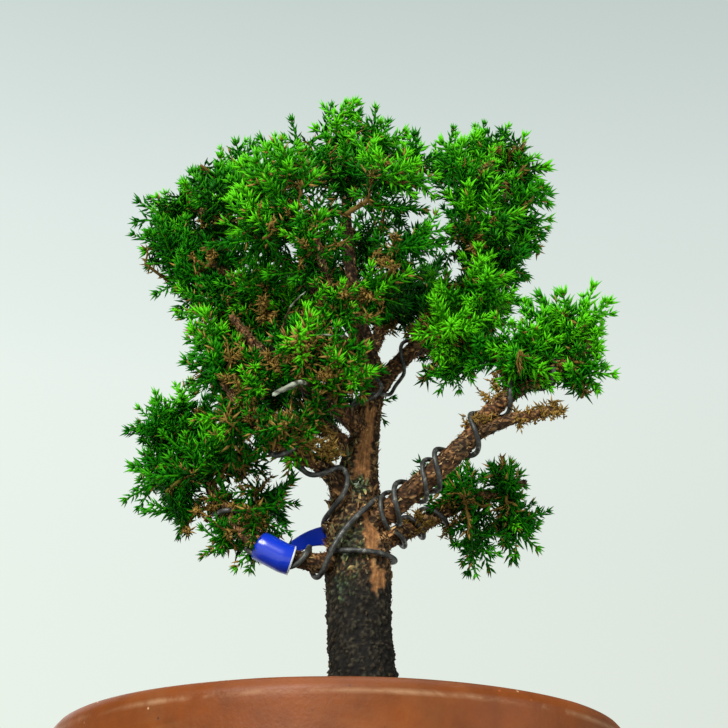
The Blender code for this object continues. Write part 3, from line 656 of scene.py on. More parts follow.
def clay_material():
    """Fired clay: warm mottling, a pale haze of lime in wiped streaks, and small dark and orange spots."""
    clay = settings().clay_colour
    material, tree, shader = new_material("fired_clay")
    place = object_place(tree)
    grain = add_grain(tree, 55.0, 900.0)
    mottled = ramp(tree, grain["Patches"], [(0.3, scaled(clay, 0.72)), (0.5, clay), (0.72, scaled(clay, 1.3))])
    stretch = node(tree, "ShaderNodeMapping", {"Vector": place, "Scale": (1.0, 1.0, 2.2)})
    haze = node(tree, "ShaderNodeTexNoise", {"Vector": stretch.outputs["Vector"], "Scale": 28.0, "Detail": 8.0,
                                             "Roughness": 0.68, "Distortion": 0.8}).outputs["Fac"]
    colour = mix_colour(tree, greys(tree, haze, (0.46, 0), (0.76, 0.42)), mottled, (0.225, 0.086, 0.022))
    spots = node(tree, "ShaderNodeTexVoronoi", {"Vector": place, "Scale": 210.0}).outputs
    dots = greys(tree, spots["Distance"], (0.05, 1), (0.11, 0))
    first, second, third = node(tree, "ShaderNodeSeparateColor", {0: spots["Color"]}).outputs
    for chosen, spot_colour in ((greys(tree, first, (0.80, 0), (0.83, 1)), (0.045, 0.02, 0.012)),
                                (greys(tree, second, (0.88, 0), (0.90, 1)), (0.32, 0.07, 0.012)),
                                (maths(tree, "LESS_THAN", third, 0.16), (0.46, 0.27, 0.15))):
        colour = mix_colour(tree, maths(tree, "MULTIPLY", dots, chosen), colour, spot_colour)
    # a line of lime where water stands under the lip
    lip_level = float(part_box("pot")[1][2]) - 4.6 * MM
    off_line = maths(tree, "ABSOLUTE", maths(tree, "SUBTRACT", split_axes(tree, place)["Z"], lip_level))
    line = maths(tree, "SUBTRACT", 1.0, maths(tree, "MULTIPLY", off_line, 900.0), clamp=True)
    line = maths(tree, "MULTIPLY", line, greys(tree, haze, (0.42, 0), (0.62, 0.6)))
    feed(tree, shader, {"Base Color": mix_colour(tree, line, colour, (0.42, 0.24, 0.13)),
                        "Roughness": greys(tree, haze, (0.3, 0.36), (0.7, 0.62)), "Specular IOR Level": 0.28})
    add_bump(tree, shader, grain["Height"], 0.25, 0.0004)
    return material


def wire_material():
    """Dark anodised aluminium, rubbed bright along its scratches."""
    material, tree, shader = new_material("anodised_wire")
    grain = add_grain(tree, 420.0, 2600.0)
    worn = ramp(tree, grain["Patches"], [(0.40, (0.024, 0.026, 0.025)), (0.58, (0.070, 0.072, 0.066)),
                                         (0.70, (0.30, 0.30, 0.27))])
    feed(tree, shader, {"Base Color": worn, "Metallic": 0.4,
                        "Roughness": greys(tree, grain["Grit"], (0.3, 0.40), (0.7, 0.6))})
    add_bump(tree, shader, grain["Height"], 0.25, 0.0002)
    return material


def tag_material():
    """Glossy blue plastic with one white edge."""
    blue = settings().tag_blue
    material, tree, shader = new_material("tag_plastic")
    across, _, _ = split_axes(tree, node(tree, "ShaderNodeUVMap", uv_map="OFBake").outputs["UV"])
    colour = ramp(tree, across, [(0.0, blue), (0.955, blue), (0.965, (0.85, 0.88, 0.9))])
    feed(tree, shader, {"Base Color": colour, "Roughness": 0.28, "Coat Weight": 0.4, "Coat Roughness": 0.12})
    return material


def loose_material(name, grain_sizes, stops, roughness, strength, distance):
    """A rough material of grains in several colours."""
    material, tree, shader = new_material(name)
    grain = add_grain(tree, *grain_sizes)
    feed(tree, shader, {"Base Color": ramp(tree, grain["Patches"], stops), "Roughness": roughness})
    add_bump(tree, shader, grain["Height"], strength, distance)
    return material


def soil_material():
    return loose_material("soil_grit", (180.0, 900.0), [
        (0.30, (0.030, 0.018, 0.010)), (0.48, (0.085, 0.052, 0.028)), (0.60, (0.16, 0.105, 0.055)),
        (0.75, (0.25, 0.19, 0.12))], 0.95, 0.8, 0.0008)


def gravel_material():
    return loose_material("drainage_grit", (140.0, 700.0), [
        (0.3, (0.16, 0.14, 0.12)), (0.5, (0.33, 0.30, 0.26)), (0.7, (0.48, 0.45, 0.40))], 0.9, 0.8, 0.001)


def screen_material():
    return loose_material("screen_mesh", (300.0, 2000.0), [
        (0.35, (0.012, 0.012, 0.012)), (0.65, (0.035, 0.035, 0.034))], 0.5, 0.3, 0.0003)


# ---------------------------------------------------------------- bark

def bark_relief(place, run, angle, radius, age):
    """Height of the bark over the limb in metres, and its tone: flakes like shingles, the cracks round them and grit.
    The tone follows the height, so it paints shade into the cracks and light onto raised flakes.

    The flakes are long cells that follow the limb, and short ones where age is 1, at the foot of the trunk.
    """
    x = place * 1000
    reach = max(radius * 1000, 1.2)
    wide = 1.45 + 0.04 * reach
    tall = wide * (2.7 - 1.6 * age)
    drift = noise.noise(Vector(x * 0.22)) * 0.8
    cell = Vector((math.cos(angle) * reach / wide + drift, math.sin(angle) * reach / wide - drift,
                   run * 1000 / tall + drift))
    distances, centres = noise.voronoi(cell)
    crack = min(1.0, (distances[1] - distances[0]) / CRACK_WIDTH)
    crack = crack * crack * (3 - 2 * crack)
    lift = clamped(noise.noise(Vector(centres[0]) * 3.7) * 1.1 + 0.5)
    tilt = (cell.z - centres[0].z) * (1 - age)
    grit = noise.noise(Vector(x * 1.0)) * 0.7 + noise.noise(Vector(x * 2.1 + 9)) * 0.5
    pebble = noise.voronoi(Vector(x * 0.62 + Vector((drift, 0, drift))))[0]
    pebble = max(0.0, 1.0 - 1.5 * pebble[0]) * min(1.0, (pebble[1] - pebble[0]) / 0.25)
    size = 0.35 + 0.65 * min(1.0, reach / 10)
    height = (size * (0.85 * crack * (0.2 + 0.8 * lift) + 0.45 * tilt * crack - 0.45) * (1 - 0.45 * age)
              + (0.26 + 0.14 * age) * grit + 0.75 * age * (pebble - 0.3) + 0.75 * age * noise.noise(Vector(x * 0.21)))
    # painted shade and light: the tone is low in the cracks and hollows and high on raised flakes, their lifted ends,
    # pebbles and grit
    tone = 0.03 + crack * (0.16 + 0.46 * lift) * (1 - 0.5 * age) + 0.25 * tilt * crack + 0.50 * grit
    tone += age * (0.55 * pebble - 0.02)
    return height * MM, clamped(tone)


# Places on the trunk where a plate of bark has come away: low and high in mm, middle and half-width in radians
# round the trunk from its front.
SMOOTH_STRIPS = [(214, 243, 6.52, 0.50), (187, 203, 6.75, 0.30), (175, 185, 6.98, 0.36)]
# Places where moss or lichen grows on the trunk: height in mm, angle from the front, reach in mm and radians, amount.
GROWTHS = [(191, -0.35, 12, 0.8, 0.85), (178, -0.5, 6, 0.6, 0.75), (212, 0.1, 7, 0.5, 1.0), (221, -0.6, 10, 0.6, 0.6)]


def smooth_strip(height_mm, front, low, high, middle, half):
    """1 on a smooth strip of the trunk, falling to 0 at its ragged edge."""
    edge = noise.noise(Vector((front * 3, height_mm * 0.2, 0))) * 4 + noise.noise(Vector((front * 9, height_mm, 5)))
    inside = min((height_mm - low - edge) / 2, (high - height_mm - edge) / 2)
    turn = abs((front - middle + math.pi) % (2 * math.pi) - math.pi)
    ragged = noise.noise(Vector((height_mm * 0.45, 7, 0))) * 0.22
    return clamped(min(inside, (half + ragged - turn) / 0.1))


def growth_at(height_mm, front):
    """How much moss or lichen there is at a place on the trunk."""
    most = 0.12
    for middle, angle, tall, half, amount in GROWTHS:
        turn = ((front - angle + math.pi) % (2 * math.pi) - math.pi) / half
        most = max(most, amount * math.exp(-((height_mm - middle) / tall) ** 2 - turn ** 2))
    return most


def grow_bark(name, table, step, around, material):
    """A limb with modelled bark: flakes, cracks and grit, with colour marks for the material."""
    path = smooth_path(table, step)
    directions, sides, others = frames_along(path)
    run = distances_along(path)
    is_trunk = name == "trunk"
    verts, faces = tube_arrays(path, around)
    marks = np.zeros((len(verts), 4))
    marks[:, 0] = 0.4
    offset = 0.03 * (sum(ord(letter) for letter in name) % 97)
    for k, (_, _, z, radius) in enumerate(path):
        height_mm = z * 1000
        age = clamped((OLD_BARK_TOP - height_mm) / 10) if is_trunk else 0.0
        flare = clamped((ROOT_FLARE_TOP - height_mm) / 20) if is_trunk else 0.0
        for i in range(around):
            index = k * around + i
            angle = 2 * math.pi * i / around
            out = sides[k] * math.cos(angle) + others[k] * math.sin(angle)
            point = verts[index]
            front = math.atan2(out[0], -out[1])
            local_age = age
            if 0 < age < 1:
                local_age = clamped(age + noise.noise(Vector(point * 110)) * 0.9)
            relief, tone = bark_relief(point, run[k] + offset, angle, radius, local_age)
            bare = 0.0
            if is_trunk:
                for strip in SMOOTH_STRIPS:
                    bare = max(bare, smooth_strip(height_mm, front, *strip))
                relief = relief * (1 - 0.8 * bare) - 0.5 * MM * bare
                streak = noise.noise(Vector((front * 9, height_mm * 0.12, 2))) * 0.22
                streak += noise.noise(Vector((front * 26, height_mm * 0.35, 4))) * 0.16
                tone = tone * (1 - bare) + (0.56 + streak + 0.3 * (tone - 0.4)) * bare
                red = max(bare, 0.25 * (1 - age))
                growth = growth_at(height_mm, front) * (1 - bare)
            else:
                red = clamped(0.5 + noise.noise(Vector(point * 140)) * 0.9)
                growth = 0.1
            swell = radius * 0.16 * flare * math.cos(5 * angle)
            verts[index] = point + out * (relief + swell)
            marks[index] = (tone, red, local_age * (1 - bare), growth)
    limb = mesh_object(name + "_bark", verts, faces, material)
    set_mark(limb.data, "bark_marks", marks)
    return limb


# Stubs of dead twigs, pale grey where they reach furthest to the front: x, y, z and radius in millimetres, from the
# wood outwards.
PALE_TWIGS = [
    [(-10, -15, 243, 0.6), (-9.5, -30, 238, 0.6), (-10.5, -39, 235.2, 0.6), (-12.5, -42.5, 234.0, 0.65),
     (-15, -43.5, 232.2, 0.9), (-17.5, -44, 230.8, 0.85), (-20.2, -44, 229.2, 0.75)],
    [(-20, -20, 249, 0.5), (-18.5, -32, 257, 0.4), (-15.5, -40, 261.5, 0.32), (-10.6, -44, 265, 0.22)],
    [(0, -8, 238, 0.5), (3, -26, 244, 0.4), (2.5, -38, 250.4, 0.32), (-2, -42, 250.4, 0.3), (-7, -44, 249.4, 0.2)],
]


def flake_shape():
    """A flake of bark: a flat plate, narrower towards its free end and curled, modelled once and then copied."""
    deselect_all()
    bpy.ops.mesh.primitive_cube_add(size=1.0, location=(0, 0, 0))
    flake = bpy.context.object
    bpy.ops.object.mode_set(mode="EDIT")
    bpy.ops.mesh.select_all(action="SELECT")
    bpy.ops.transform.resize(value=(1.0, 0.2, 1.0))
    bm = bmesh.from_edit_mesh(flake.data)
    long_edges = [edge for edge in bm.edges if abs(edge.verts[0].co.z - edge.verts[1].co.z) > 0.5]
    bmesh.ops.subdivide_edges(bm, edges=long_edges, cuts=2, use_grid_fill=True)
    for vert in bm.verts:
        t = vert.co.z + 0.5
        vert.co.x *= 0.75 + 0.5 * t - 1.0 * t * t
        vert.co.x += 0.12 * math.sin(4 * t)
        vert.co.y = vert.co.y * (1 - 0.6 * t) + 0.3 * t * t
        vert.co.z = t
    bmesh.update_edit_mesh(flake.data)
    bpy.ops.object.mode_set(mode="OBJECT")
    return taken_apart(flake)


class Flakes:
    """Flakes and crumbs of bark, copied from one shape into a single mesh with colour marks."""

    def __init__(self):
        self.shape, self.faces = flake_shape()
        self.builder = Builder()
        self.tones = []

    def add(self, root, up, outward, length, width, marks):
        across = unit(np.cross(outward, up))
        face_out = np.cross(up, across)
        verts = root + (self.shape[:, :1] * across * width + self.shape[:, 1:2] * face_out * width
                        + self.shape[:, 2:] * up * length)
        self.builder.add(verts, [self.faces])
        self.tones.append(np.tile(marks, (len(verts), 1)))

    def add_twig(self, table):
        """A dead twig, pale grey where it reaches more than 40 mm to the front."""
        verts, faces = tube_arrays(smooth_path(table, 1.2 * MM), 10)
        verts = verts + np.array([noise.noise_vector(Vector(vert) * 700) for vert in verts]) * 0.36 * MM
        pale_front = verts[:, 1] < -40 * MM
        marks = np.zeros((len(verts), 4))
        marks[:, 0] = [0.37 + 0.55 * noise.noise(Vector(vert) * 800) for vert in verts]
        marks[:, 3] = np.where(pale_front, 1.6, 0.1)
        self.builder.add(verts, faces)
        self.tones.append(marks)

    def object(self, name, material):
        flakes = self.builder.object(name, material, smooth=False)
        set_mark(flakes.data, "bark_marks", np.vstack(self.tones))
        return flakes


def flake_limb(flakes, table, count, length, width, lean, rng, is_trunk=False, sink=0.25):
    """Flakes all round a limb, each with its root in the bark."""
    path = smooth_path(table, 1.5 * MM)
    directions, sides, others = frames_along(path)
    for _ in range(count):
        k = int(rng.integers(1, len(path) - 1))
        old = is_trunk and path[k, 2] < OLD_BARK_TOP * MM
        if old and rng.random() < 0.75:
            continue
        angle = rng.random() * 2 * math.pi
        out = sides[k] * math.cos(angle) + others[k] * math.sin(angle)
        front = math.atan2(out[0], -out[1])
        if is_trunk and any(smooth_strip(path[k, 2] * 1000, front, *strip) > 0.1 for strip in SMOOTH_STRIPS):
            continue
        way = 1 if rng.random() < 0.55 else -1
        tilt = rng.uniform(*lean)
        up = unit(directions[k] * way * math.cos(tilt) + out * math.sin(tilt)
                  + np.cross(directions[k], out) * rng.normal() * 0.3)
        size = rng.uniform(*length) * MM * (0.6 if old else 1.0)
        root = path[k, :3] + out * (path[k, 3] - sink * MM) - up * size * 0.25
        tone = min(1.0, max(0.1, rng.normal() * 0.26 + (0.30 if old else 0.58)))
        growth = growth_at(path[k, 2] * 1000, front) if is_trunk else 0.0
        marks = (tone, rng.random() * 0.9, 0.8 if old else rng.random() * 0.3, growth)
        flakes.add(root, up, out, size, rng.uniform(*width) * MM * (0.8 if old else 1.0), marks)


# Tufts of torn bark: where, which way they point, how many flakes and how long in mm, and how orange.
TUFTS = [
    ((12.2, -9.5, 204), (0.5, -0.7, 0.5), 12, 3.2, 0.7), ((12.8, -10.2, 200.5), (0.2, -1, -0.2), 10, 2.6, 0.6),
    ((17.0, -6.5, 196.0), (0.8, -0.6, 0.1), 22, 2.8, 1.0), ((15.0, -7.5, 193.5), (0.7, -0.7, -0.4), 14, 2.2, 0.9),
    ((-3.6, -1, 178.5), (-1, -0.2, 0.1), 9, 2.2, 0.1), ((-4.4, -3, 193), (-0.9, -0.5, 0.3), 12, 2.2, 0.6),
    ((-3.2, -6, 206), (-0.7, -0.7, 0.3), 22, 2.8, 0.4), ((1.0, -9.5, 214), (-0.4, -0.9, 0.2), 22, 3.0, 0.4),
    ((-1.5, -8.5, 210), (-0.5, -0.8, 0.5), 20, 3.0, 0.3), ((-3.6, -4.5, 199), (-0.8, -0.6, 0.4), 14, 2.6, 0.5),
    ((-4.0, -5, 184), (-0.8, -0.6, -0.3), 10, 2.2, 0.9),
]


def add_tufts(flakes, rng):
    for place, way, count, length, orange in TUFTS:
        for _ in range(count):
            up = unit(np.array(way) + rng.normal(size=3) * 0.45)
            root = (np.array(place) + rng.normal(size=3) * 0.8) * MM - up * 1.5 * MM
            tone = min(1.0, max(0.15, rng.normal() * 0.22 + 0.62))
            flakes.add(root, up, unit(np.cross(up, rng.normal(size=3))), length * rng.uniform(0.6, 1.2) * MM,
                       rng.uniform(0.5, 1.1) * MM, (tone, orange * rng.uniform(0.6, 1.0), 0.2, 0.0))


# ---------------------------------------------------------------- needles and shoots

def needle_shape():
    """An awl-shaped needle: a three-sided cone, its base drawn to a point, modelled once along +Z and then copied."""
    deselect_all()
    bpy.ops.mesh.primitive_cone_add(vertices=3, radius1=0.5, radius2=0.0, depth=1.0, location=(0, 0, 0.5))
    needle = bpy.context.object
    bpy.ops.object.transform_apply(location=True, rotation=True, scale=True)
    bm = bmesh.new()
    bm.from_mesh(needle.data)
    bottom = [face for face in bm.faces if all(vert.co.z < 0.1 for vert in face.verts)]
    foot = bmesh.ops.poke(bm, faces=bottom)["verts"][0]
    for vert in bm.verts:
        if vert is not foot and vert.co.z < 0.1:
            vert.co.y += 0.12
            vert.co.z = 0.36
    foot.co = (0.0, 0.0, 0.0)
    bm.to_mesh(needle.data)
    bm.free()
    return taken_apart(needle)


class Needles:
    """Rows of needles waiting to be copied from the one shape into a single mesh."""

    def __init__(self):
        self.rows = []

    def add(self, base, direction, out, size, shade):
        self.rows.append(np.hstack([base, direction, out, size[:, None], shade[:, None]]))

    def along_shoot(self, start, end, density, length, rng, tint, bare=0.0):
        """Needles in a spiral round a green shoot, standing out at its base and forward at its tip."""
        axis, reach, side, other = shoot_frame(start, end, rng)
        count = max(5, int(reach / MM * density * (1 - bare)))
        t = bare + (1 - bare) * (np.arange(count) + 0.5) / count
        angle = rng.random() * 2 * math.pi + np.arange(count) * GOLDEN_ANGLE + rng.normal(size=count) * 0.15
        out = turned(side, other, angle)
        lean = np.radians(62 - 30 * t ** 2 + rng.normal(size=count) * 9)[:, None]
        size = length * (1.08 - 0.38 * t ** 3) * rng.uniform(0.82, 1.15, count)
        shade = np.clip(tint + 0.20 * (t - 0.45) + rng.normal(size=count) * 0.04, 0.02, FRESHEST)
        base = start + axis * reach * t[:, None]
        self.add(base, axis * np.cos(lean) + out * np.sin(lean), out, size, shade)

    def dead(self, start, end, count, length, rng):
        """Withered needles that cling to old wood, each its own way."""
        axis, reach, side, other = shoot_frame(start, end, rng)
        t = rng.random(count)
        angle = rng.random(count) * 2 * math.pi
        out = turned(side, other, angle)
        lean = np.radians(rng.uniform(20, 100, count))[:, None]
        size = length * rng.uniform(0.25, 0.75, count)
        base = start + axis * reach * t[:, None]
        self.add(base, axis * np.cos(lean) + out * np.sin(lean), out, size, rng.uniform(DARK_DEAD, 0.97, count))

    def star(self, tip, axis, count, length, rng, tint):
        """The last few needles, which stand forward round the bud."""
        side = unit(np.cross(axis, rng.normal(size=3)))
        other = np.cross(axis, side)
        angle = 2 * math.pi * (np.arange(count) + rng.random(count) * 0.4) / count
        out = turned(side, other, angle)
        lean = np.radians(rng.uniform(14, 50, count))[:, None]
        shade = np.clip(tint + 0.14 + rng.normal(size=count) * 0.03, 0.05, FRESHEST)
        base = np.broadcast_to(tip, (count, 3))
        self.add(base, axis * np.cos(lean) + out * np.sin(lean), out, length * rng.uniform(0.65, 0.95, count), shade)

    def build(self, builder, width, withered, rng):
        shape, faces = needle_shape()
        rows = np.vstack(self.rows)
        pick = rng.random(len(rows)) < withered
        rows[pick, 10] = rng.uniform(0.84, PALE_DEAD, pick.sum())
        base, direction, out = rows[:, 0:3], rows[:, 3:6], rows[:, 6:9]
        size, shade = rows[:, 9], rows[:, 10]
        across = unit(np.cross(out, direction))
        upper = np.cross(direction, across)
        # a short needle is a thin one too
        wide = (width * np.clip(size / (4.0 * MM), 0.55, 1.15))[:, None, None]
        verts = (base[:, None, :] + across[:, None, :] * shape[None, :, :1] * wide
                 + upper[:, None, :] * shape[None, :, 1:2] * wide
                 + direction[:, None, :] * shape[None, :, 2:] * size[:, None, None])
        count = len(rows)
        shift = (np.arange(count) * len(shape))[:, None, None]
        mark = np.stack([np.broadcast_to(shape[:, 2], (count, len(shape))).ravel(),
                         np.repeat(shade, len(shape))], 1)
        builder.add(verts.reshape(-1, 3), [(faces[None] + shift).reshape(-1, 3)], mark)


def shoot_frame(start, end, rng):
    """A shoot's direction and length, and two directions across it."""
    axis = end - start
    reach = max(np.linalg.norm(axis), 1e-6)
    axis = axis / reach
    side = unit(np.cross(axis, rng.normal(size=3)))
    return axis, reach, side, np.cross(axis, side)


def add_bud(builder, place, axis, size, tone):
    """A bud or a withered scale: a small eight-sided lump, longer than it is wide."""
    side = unit(np.cross(axis, (0.31, 0.52, 0.79)))
    other = np.cross(axis, side)
    verts = place + np.array([-axis * 0.6, axis * 1.5, side, other, -side, -other]) * size
    ring = np.array([2, 3, 4, 5])
    after = np.roll(ring, -1)
    faces = np.vstack([np.stack([ring, after, np.full(4, 1)], 1), np.stack([after, ring, np.full(4, 0)], 1)])
    builder.add(verts, [faces], (0.6, tone))


def stem_path(start, end, lift, parts, thick, thin):
    """A twig's rows of x, y, z, radius: a gentle bow from start to end."""
    t = np.linspace(0, 1, parts + 1)[:, None]
    middle = (start + end) / 2 + lift
    points = (1 - t) ** 2 * start + 2 * t * (1 - t) * middle + t * t * end
    radii = thick + (thin - thick) * t
    return np.hstack([points, radii])


def lobe_points(lobes, heart, rng):
    """Places for sprays on the outside of a cloud's lobes, most of them away from the tree's heart."""
    chosen = []
    for centre, half, count, fresh in lobes:
        middle, size = np.array(centre) * MM, np.array(half) * MM
        away = unit(middle - heart)
        kept, tries = 0, 0
        while kept < count and tries < count * TRIES_PER_SPRAY:
            tries += 1
            direction = unit(rng.normal(size=3))
            facing = direction @ away * 0.5 + direction[2] * 0.35
            if rng.random() > 0.62 + 0.5 * facing:
                continue
            reach = rng.uniform(0.72, 1.05) if rng.random() < 0.8 else rng.uniform(1.1, 1.3)
            point = middle + direction * (size + 2 * MM) * reach
            if any(np.linalg.norm((point - np.array(other[0]) * MM) / (np.array(other[1]) * MM)) < 0.62
                   for other in lobes if other[0] != centre):
                continue
            gap = (SPRAY_GAP if tries < count * TRIES_PER_SPRAY / 2 else TIGHT_SPRAY_GAP) * MM
            if all(np.linalg.norm(point - other[0]) > gap for other in chosen):
                chosen.append((point, direction, fresh))
                kept += 1
    return chosen


def grow_spray(needles, builder, root, tip, outward, length, rng, tint, scale):
    """A leading shoot with side shoots, all covered in needles, that ends at tip."""
    axis = unit(unit(tip - root) * 0.5 + outward * 0.75 + np.array((0, 0, 0.14)) + rng.normal(size=3) * 0.18)
    start = tip - axis * length
    path = stem_path(start, tip, rng.normal(size=3) * 0.6 * MM, 3, 0.50 * MM, 0.32 * MM)
    builder.add(*tube_arrays(path, 4), (0.5, 0.60))
    needles.along_shoot(start, tip, NEEDLES_PER_MM, scale, rng, tint, bare=0.1)
    needles.star(tip, axis, 7, scale, rng, tint)
    if rng.random() < 0.45:
        add_bud(builder, tip, axis, rng.uniform(0.35, 0.6) * MM, rng.uniform(0.82, 0.98))
    sides = int(rng.integers(2, 5))
    side = unit(np.cross(axis, rng.normal(size=3)))
    other = np.cross(axis, side)
    for i in range(sides):
        t = 0.04 + 0.52 * i / sides + rng.normal() * 0.03
        angle = i * 2.4 + rng.normal() * 0.3
        out = side * math.cos(angle) + other * math.sin(angle)
        lean = math.radians(rng.uniform(38, 64))
        direction = axis * math.cos(lean) + out * math.sin(lean)
        reach = length * rng.uniform(0.40, 0.70)
        first = start + axis * length * t
        last = first + direction * reach
        path = stem_path(first, last, rng.normal(size=3) * 0.3 * MM, 2, 0.40 * MM, 0.28 * MM)
        builder.add(*tube_arrays(path, 3), (0.5, 0.58))
        own = tint + rng.normal() * 0.05
        needles.along_shoot(first, last, 1.8, scale * 0.92, rng, own, bare=0.08)
        needles.star(last, direction, 6, scale * 0.9, rng, own)
        if rng.random() < 0.3:
            add_bud(builder, last, direction, rng.uniform(0.3, 0.5) * MM, rng.uniform(0.82, 0.98))
    return start


def grow_twigs(builder, needles, limb_points, starts, rng, scale):
    """Twigs from the limbs to the sprays: each joins the nearest wood that is already there."""
    nodes = list(limb_points)
    parents = [-1] * len(nodes)
    order = sorted(range(len(starts)), key=lambda i: np.linalg.norm(limb_points - starts[i], axis=1).min())
    runs = []
    for i in order:
        target = starts[i]
        places = np.array(nodes)
        nearest = int(np.argmin(np.linalg.norm(places - target, axis=1)))
        origin = places[nearest]
        reach = np.linalg.norm(target - origin)
        parts = max(2, int(reach / (4 * MM)))
        lift = rng.normal(size=3) * 0.12 * reach + np.array((0, 0, -0.06 * reach))
        path = stem_path(origin, target, lift, parts, 1, 1)[:, :3]
        before = nearest
        ids = [nearest]
        for point in path[1:]:
            nodes.append(point)
            parents.append(before)
            before = len(nodes) - 1
            ids.append(before)
        runs.append(ids)
    load = np.zeros(len(nodes))
    for ids in runs:
        step = ids[-1]
        while step != -1:
            load[step] += 1
            step = parents[step]
    places = np.array(nodes)
    for ids in runs:
        path = places[ids]
        radius = (0.40 + 0.17 * np.sqrt(np.minimum(load[ids], 20))) * MM
        radius[0] = radius[1]
        wobble = rng.normal(size=path.shape) * 0.3 * MM
        wobble[0] = wobble[-1] = 0
        rows = np.hstack([path + wobble, radius[:, None]])
        builder.add(*tube_arrays(rows, 5), (0.35, rng.uniform(0.775, 0.85)))
        for here, there in zip(path, path[1:]):
            if rng.random() < 0.7:
                needles.dead(here, there, int(rng.integers(4, 10)), scale, rng)
            # needles along the inner twigs take the darkest greens: partly old needles, partly painted shade inside
            # the tree
            if rng.random() < 0.45:
                needles.along_shoot(here, there, 1.7, scale * 1.1, rng, rng.uniform(0.05, 0.3))
        if rng.random() < 0.6:
            at = path[int(rng.integers(0, len(path)))]
            end = at + unit(rng.normal(size=3) + np.array((0, 0, -0.2))) * rng.uniform(4, 9) * MM
            stub = stem_path(at, end, rng.normal(size=3) * MM, 2, 0.42 * MM, 0.22 * MM)
            builder.add(*tube_arrays(stub, 4), (0.5, rng.uniform(0.80, 0.97)))
            if rng.random() < 0.5:
                needles.dead(at, end, 10, scale, rng)
            else:
                needles.along_shoot(at, end, 2.3, scale * 0.85, rng, rng.uniform(0.1, 0.4))
    return places


def grow_dead_clumps(builder, needles, clumps, wood, rng, scale):
    """Withered shoots: crumpled scales and curled needles on a short twig that is joined to the wood."""
    for centre, half, count in clumps:
        for _ in range(count):
            at = (np.array(centre) + unit(rng.normal(size=3)) * half * rng.uniform(0.3, 1.0)) * MM
            root = wood[int(np.argmin(np.linalg.norm(wood - at, axis=1)))]
            at = root + (at - root) * min(1.0, DEAD_TWIG_REACH * MM / np.linalg.norm(at - root))
            twig = stem_path(root, at, rng.normal(size=3) * 0.8 * MM, 3, 0.45 * MM, 0.3 * MM)
            builder.add(*tube_arrays(twig, 4), (0.5, rng.uniform(0.82, 0.95)))
            axis = unit(at - root + rng.normal(size=3) * MM)
            length = rng.uniform(2.5, 5.5) * MM
            tone = rng.uniform(0.79, 0.95)
            for _ in range(int(rng.integers(6, 13))):
                place = at - axis * length * rng.random() + rng.normal(size=3) * 0.55 * MM
                add_bud(builder, place, unit(axis + rng.normal(size=3) * 0.7), rng.uniform(0.35, 0.75) * MM,
                        min(1.0, max(0.78, tone + rng.normal() * 0.05)))
            needles.dead(at - axis * length, at + axis * MM, int(rng.integers(8, 20)), scale * 0.95, rng)


# ---------------------------------------------------------------- wires

def along(path, distance):
    """Centre, radius and direction of a limb at a distance in metres from its base."""
    run = distances_along(path)
    place = [np.interp(distance, run, path[:, k]) for k in range(4)]
    direction = [np.interp(distance, run, tangents(path)[:, k]) for k in range(3)]
    direction = np.array(direction) / np.linalg.norm(direction)
    return np.array(place[:3]), place[3], direction


def across_limb(direction):
    """The limb's front, and the side a quarter turn on from it."""
    front = np.array((0.0, -1.0, 0.0))
    front = front - direction * np.dot(front, direction)
    front = front / np.linalg.norm(front)
    return front, np.cross(direction, front)


def coil(path, start, end, angle, turn, wire):
    """Points of a wire round a limb, from start to end in millimetres along it, turning by turn degrees."""
    count = max(2, round(abs(turn) / 360 * POINTS_PER_TURN) + 1)
    count = max(count, round(abs(end - start) / 3))
    points = []
    for t in np.linspace(0, 1, count):
        centre, radius, direction = along(path, (start + (end - start) * t) * MM)
        front, side = across_limb(direction)
        around = math.radians(angle + turn * t)
        reach = radius + wire / 2 + WIRE_ROOM
        points.append(centre + (front * math.cos(around) + side * math.sin(around)) * reach)
    return points


def via(*places):
    return [np.array(place) * MM for place in places]


def pushed_out(points, centres, radii, wire):
    """Moves each point out of the chain of spheres that it is deepest in."""
    starts = centres[:-1]
    runs = centres[1:] - starts
    lengths = np.maximum((runs ** 2).sum(1), 1e-12)
    share = ((points[:, None] - starts) * runs).sum(2) / lengths
    share = np.clip(share, 0, 1)
    nearest = starts + runs * share[..., None]
    size = radii[:-1] + (radii[1:] - radii[:-1]) * share
    offset = points[:, None] - nearest
    distance = np.linalg.norm(offset, axis=2)
    room = distance - size
    rows = np.arange(len(points))
    k = np.argmin(room, axis=1)
    lack = wire / 2 + WIRE_ROOM - room[rows, k]
    lack = np.where((lack > 0) & (distance[rows, k] > 1e-6), lack, 0)
    return points + offset[rows, k] / np.maximum(distance[rows, k], 1e-9)[:, None] * lack[:, None]


def evenly(points, step):
    """The same line with its points an even distance apart."""
    points = np.array(points)
    run = distances_along(points)
    places = np.linspace(0, run[-1], max(3, round(run[-1] / step)))
    return np.array([[np.interp(place, run, points[:, k]) for k in range(3)] for place in places])


def settled(points, obstacles, wire):
    """The wire's points, eased to a smooth line that lies on the bark and over the wires below it."""
    line = evenly(points, WIRE_STEP)
    for step in range(SETTLE_STEPS):
        if step < SETTLE_STEPS - PUSH_STEPS:
            eased = line.copy()
            eased[1:-1] = line[1:-1] * 0.8 + (line[:-2] + line[2:]) * 0.1
            line = eased
        for centres, radii in obstacles:
            line = pushed_out(line, centres, radii, wire)
    return line


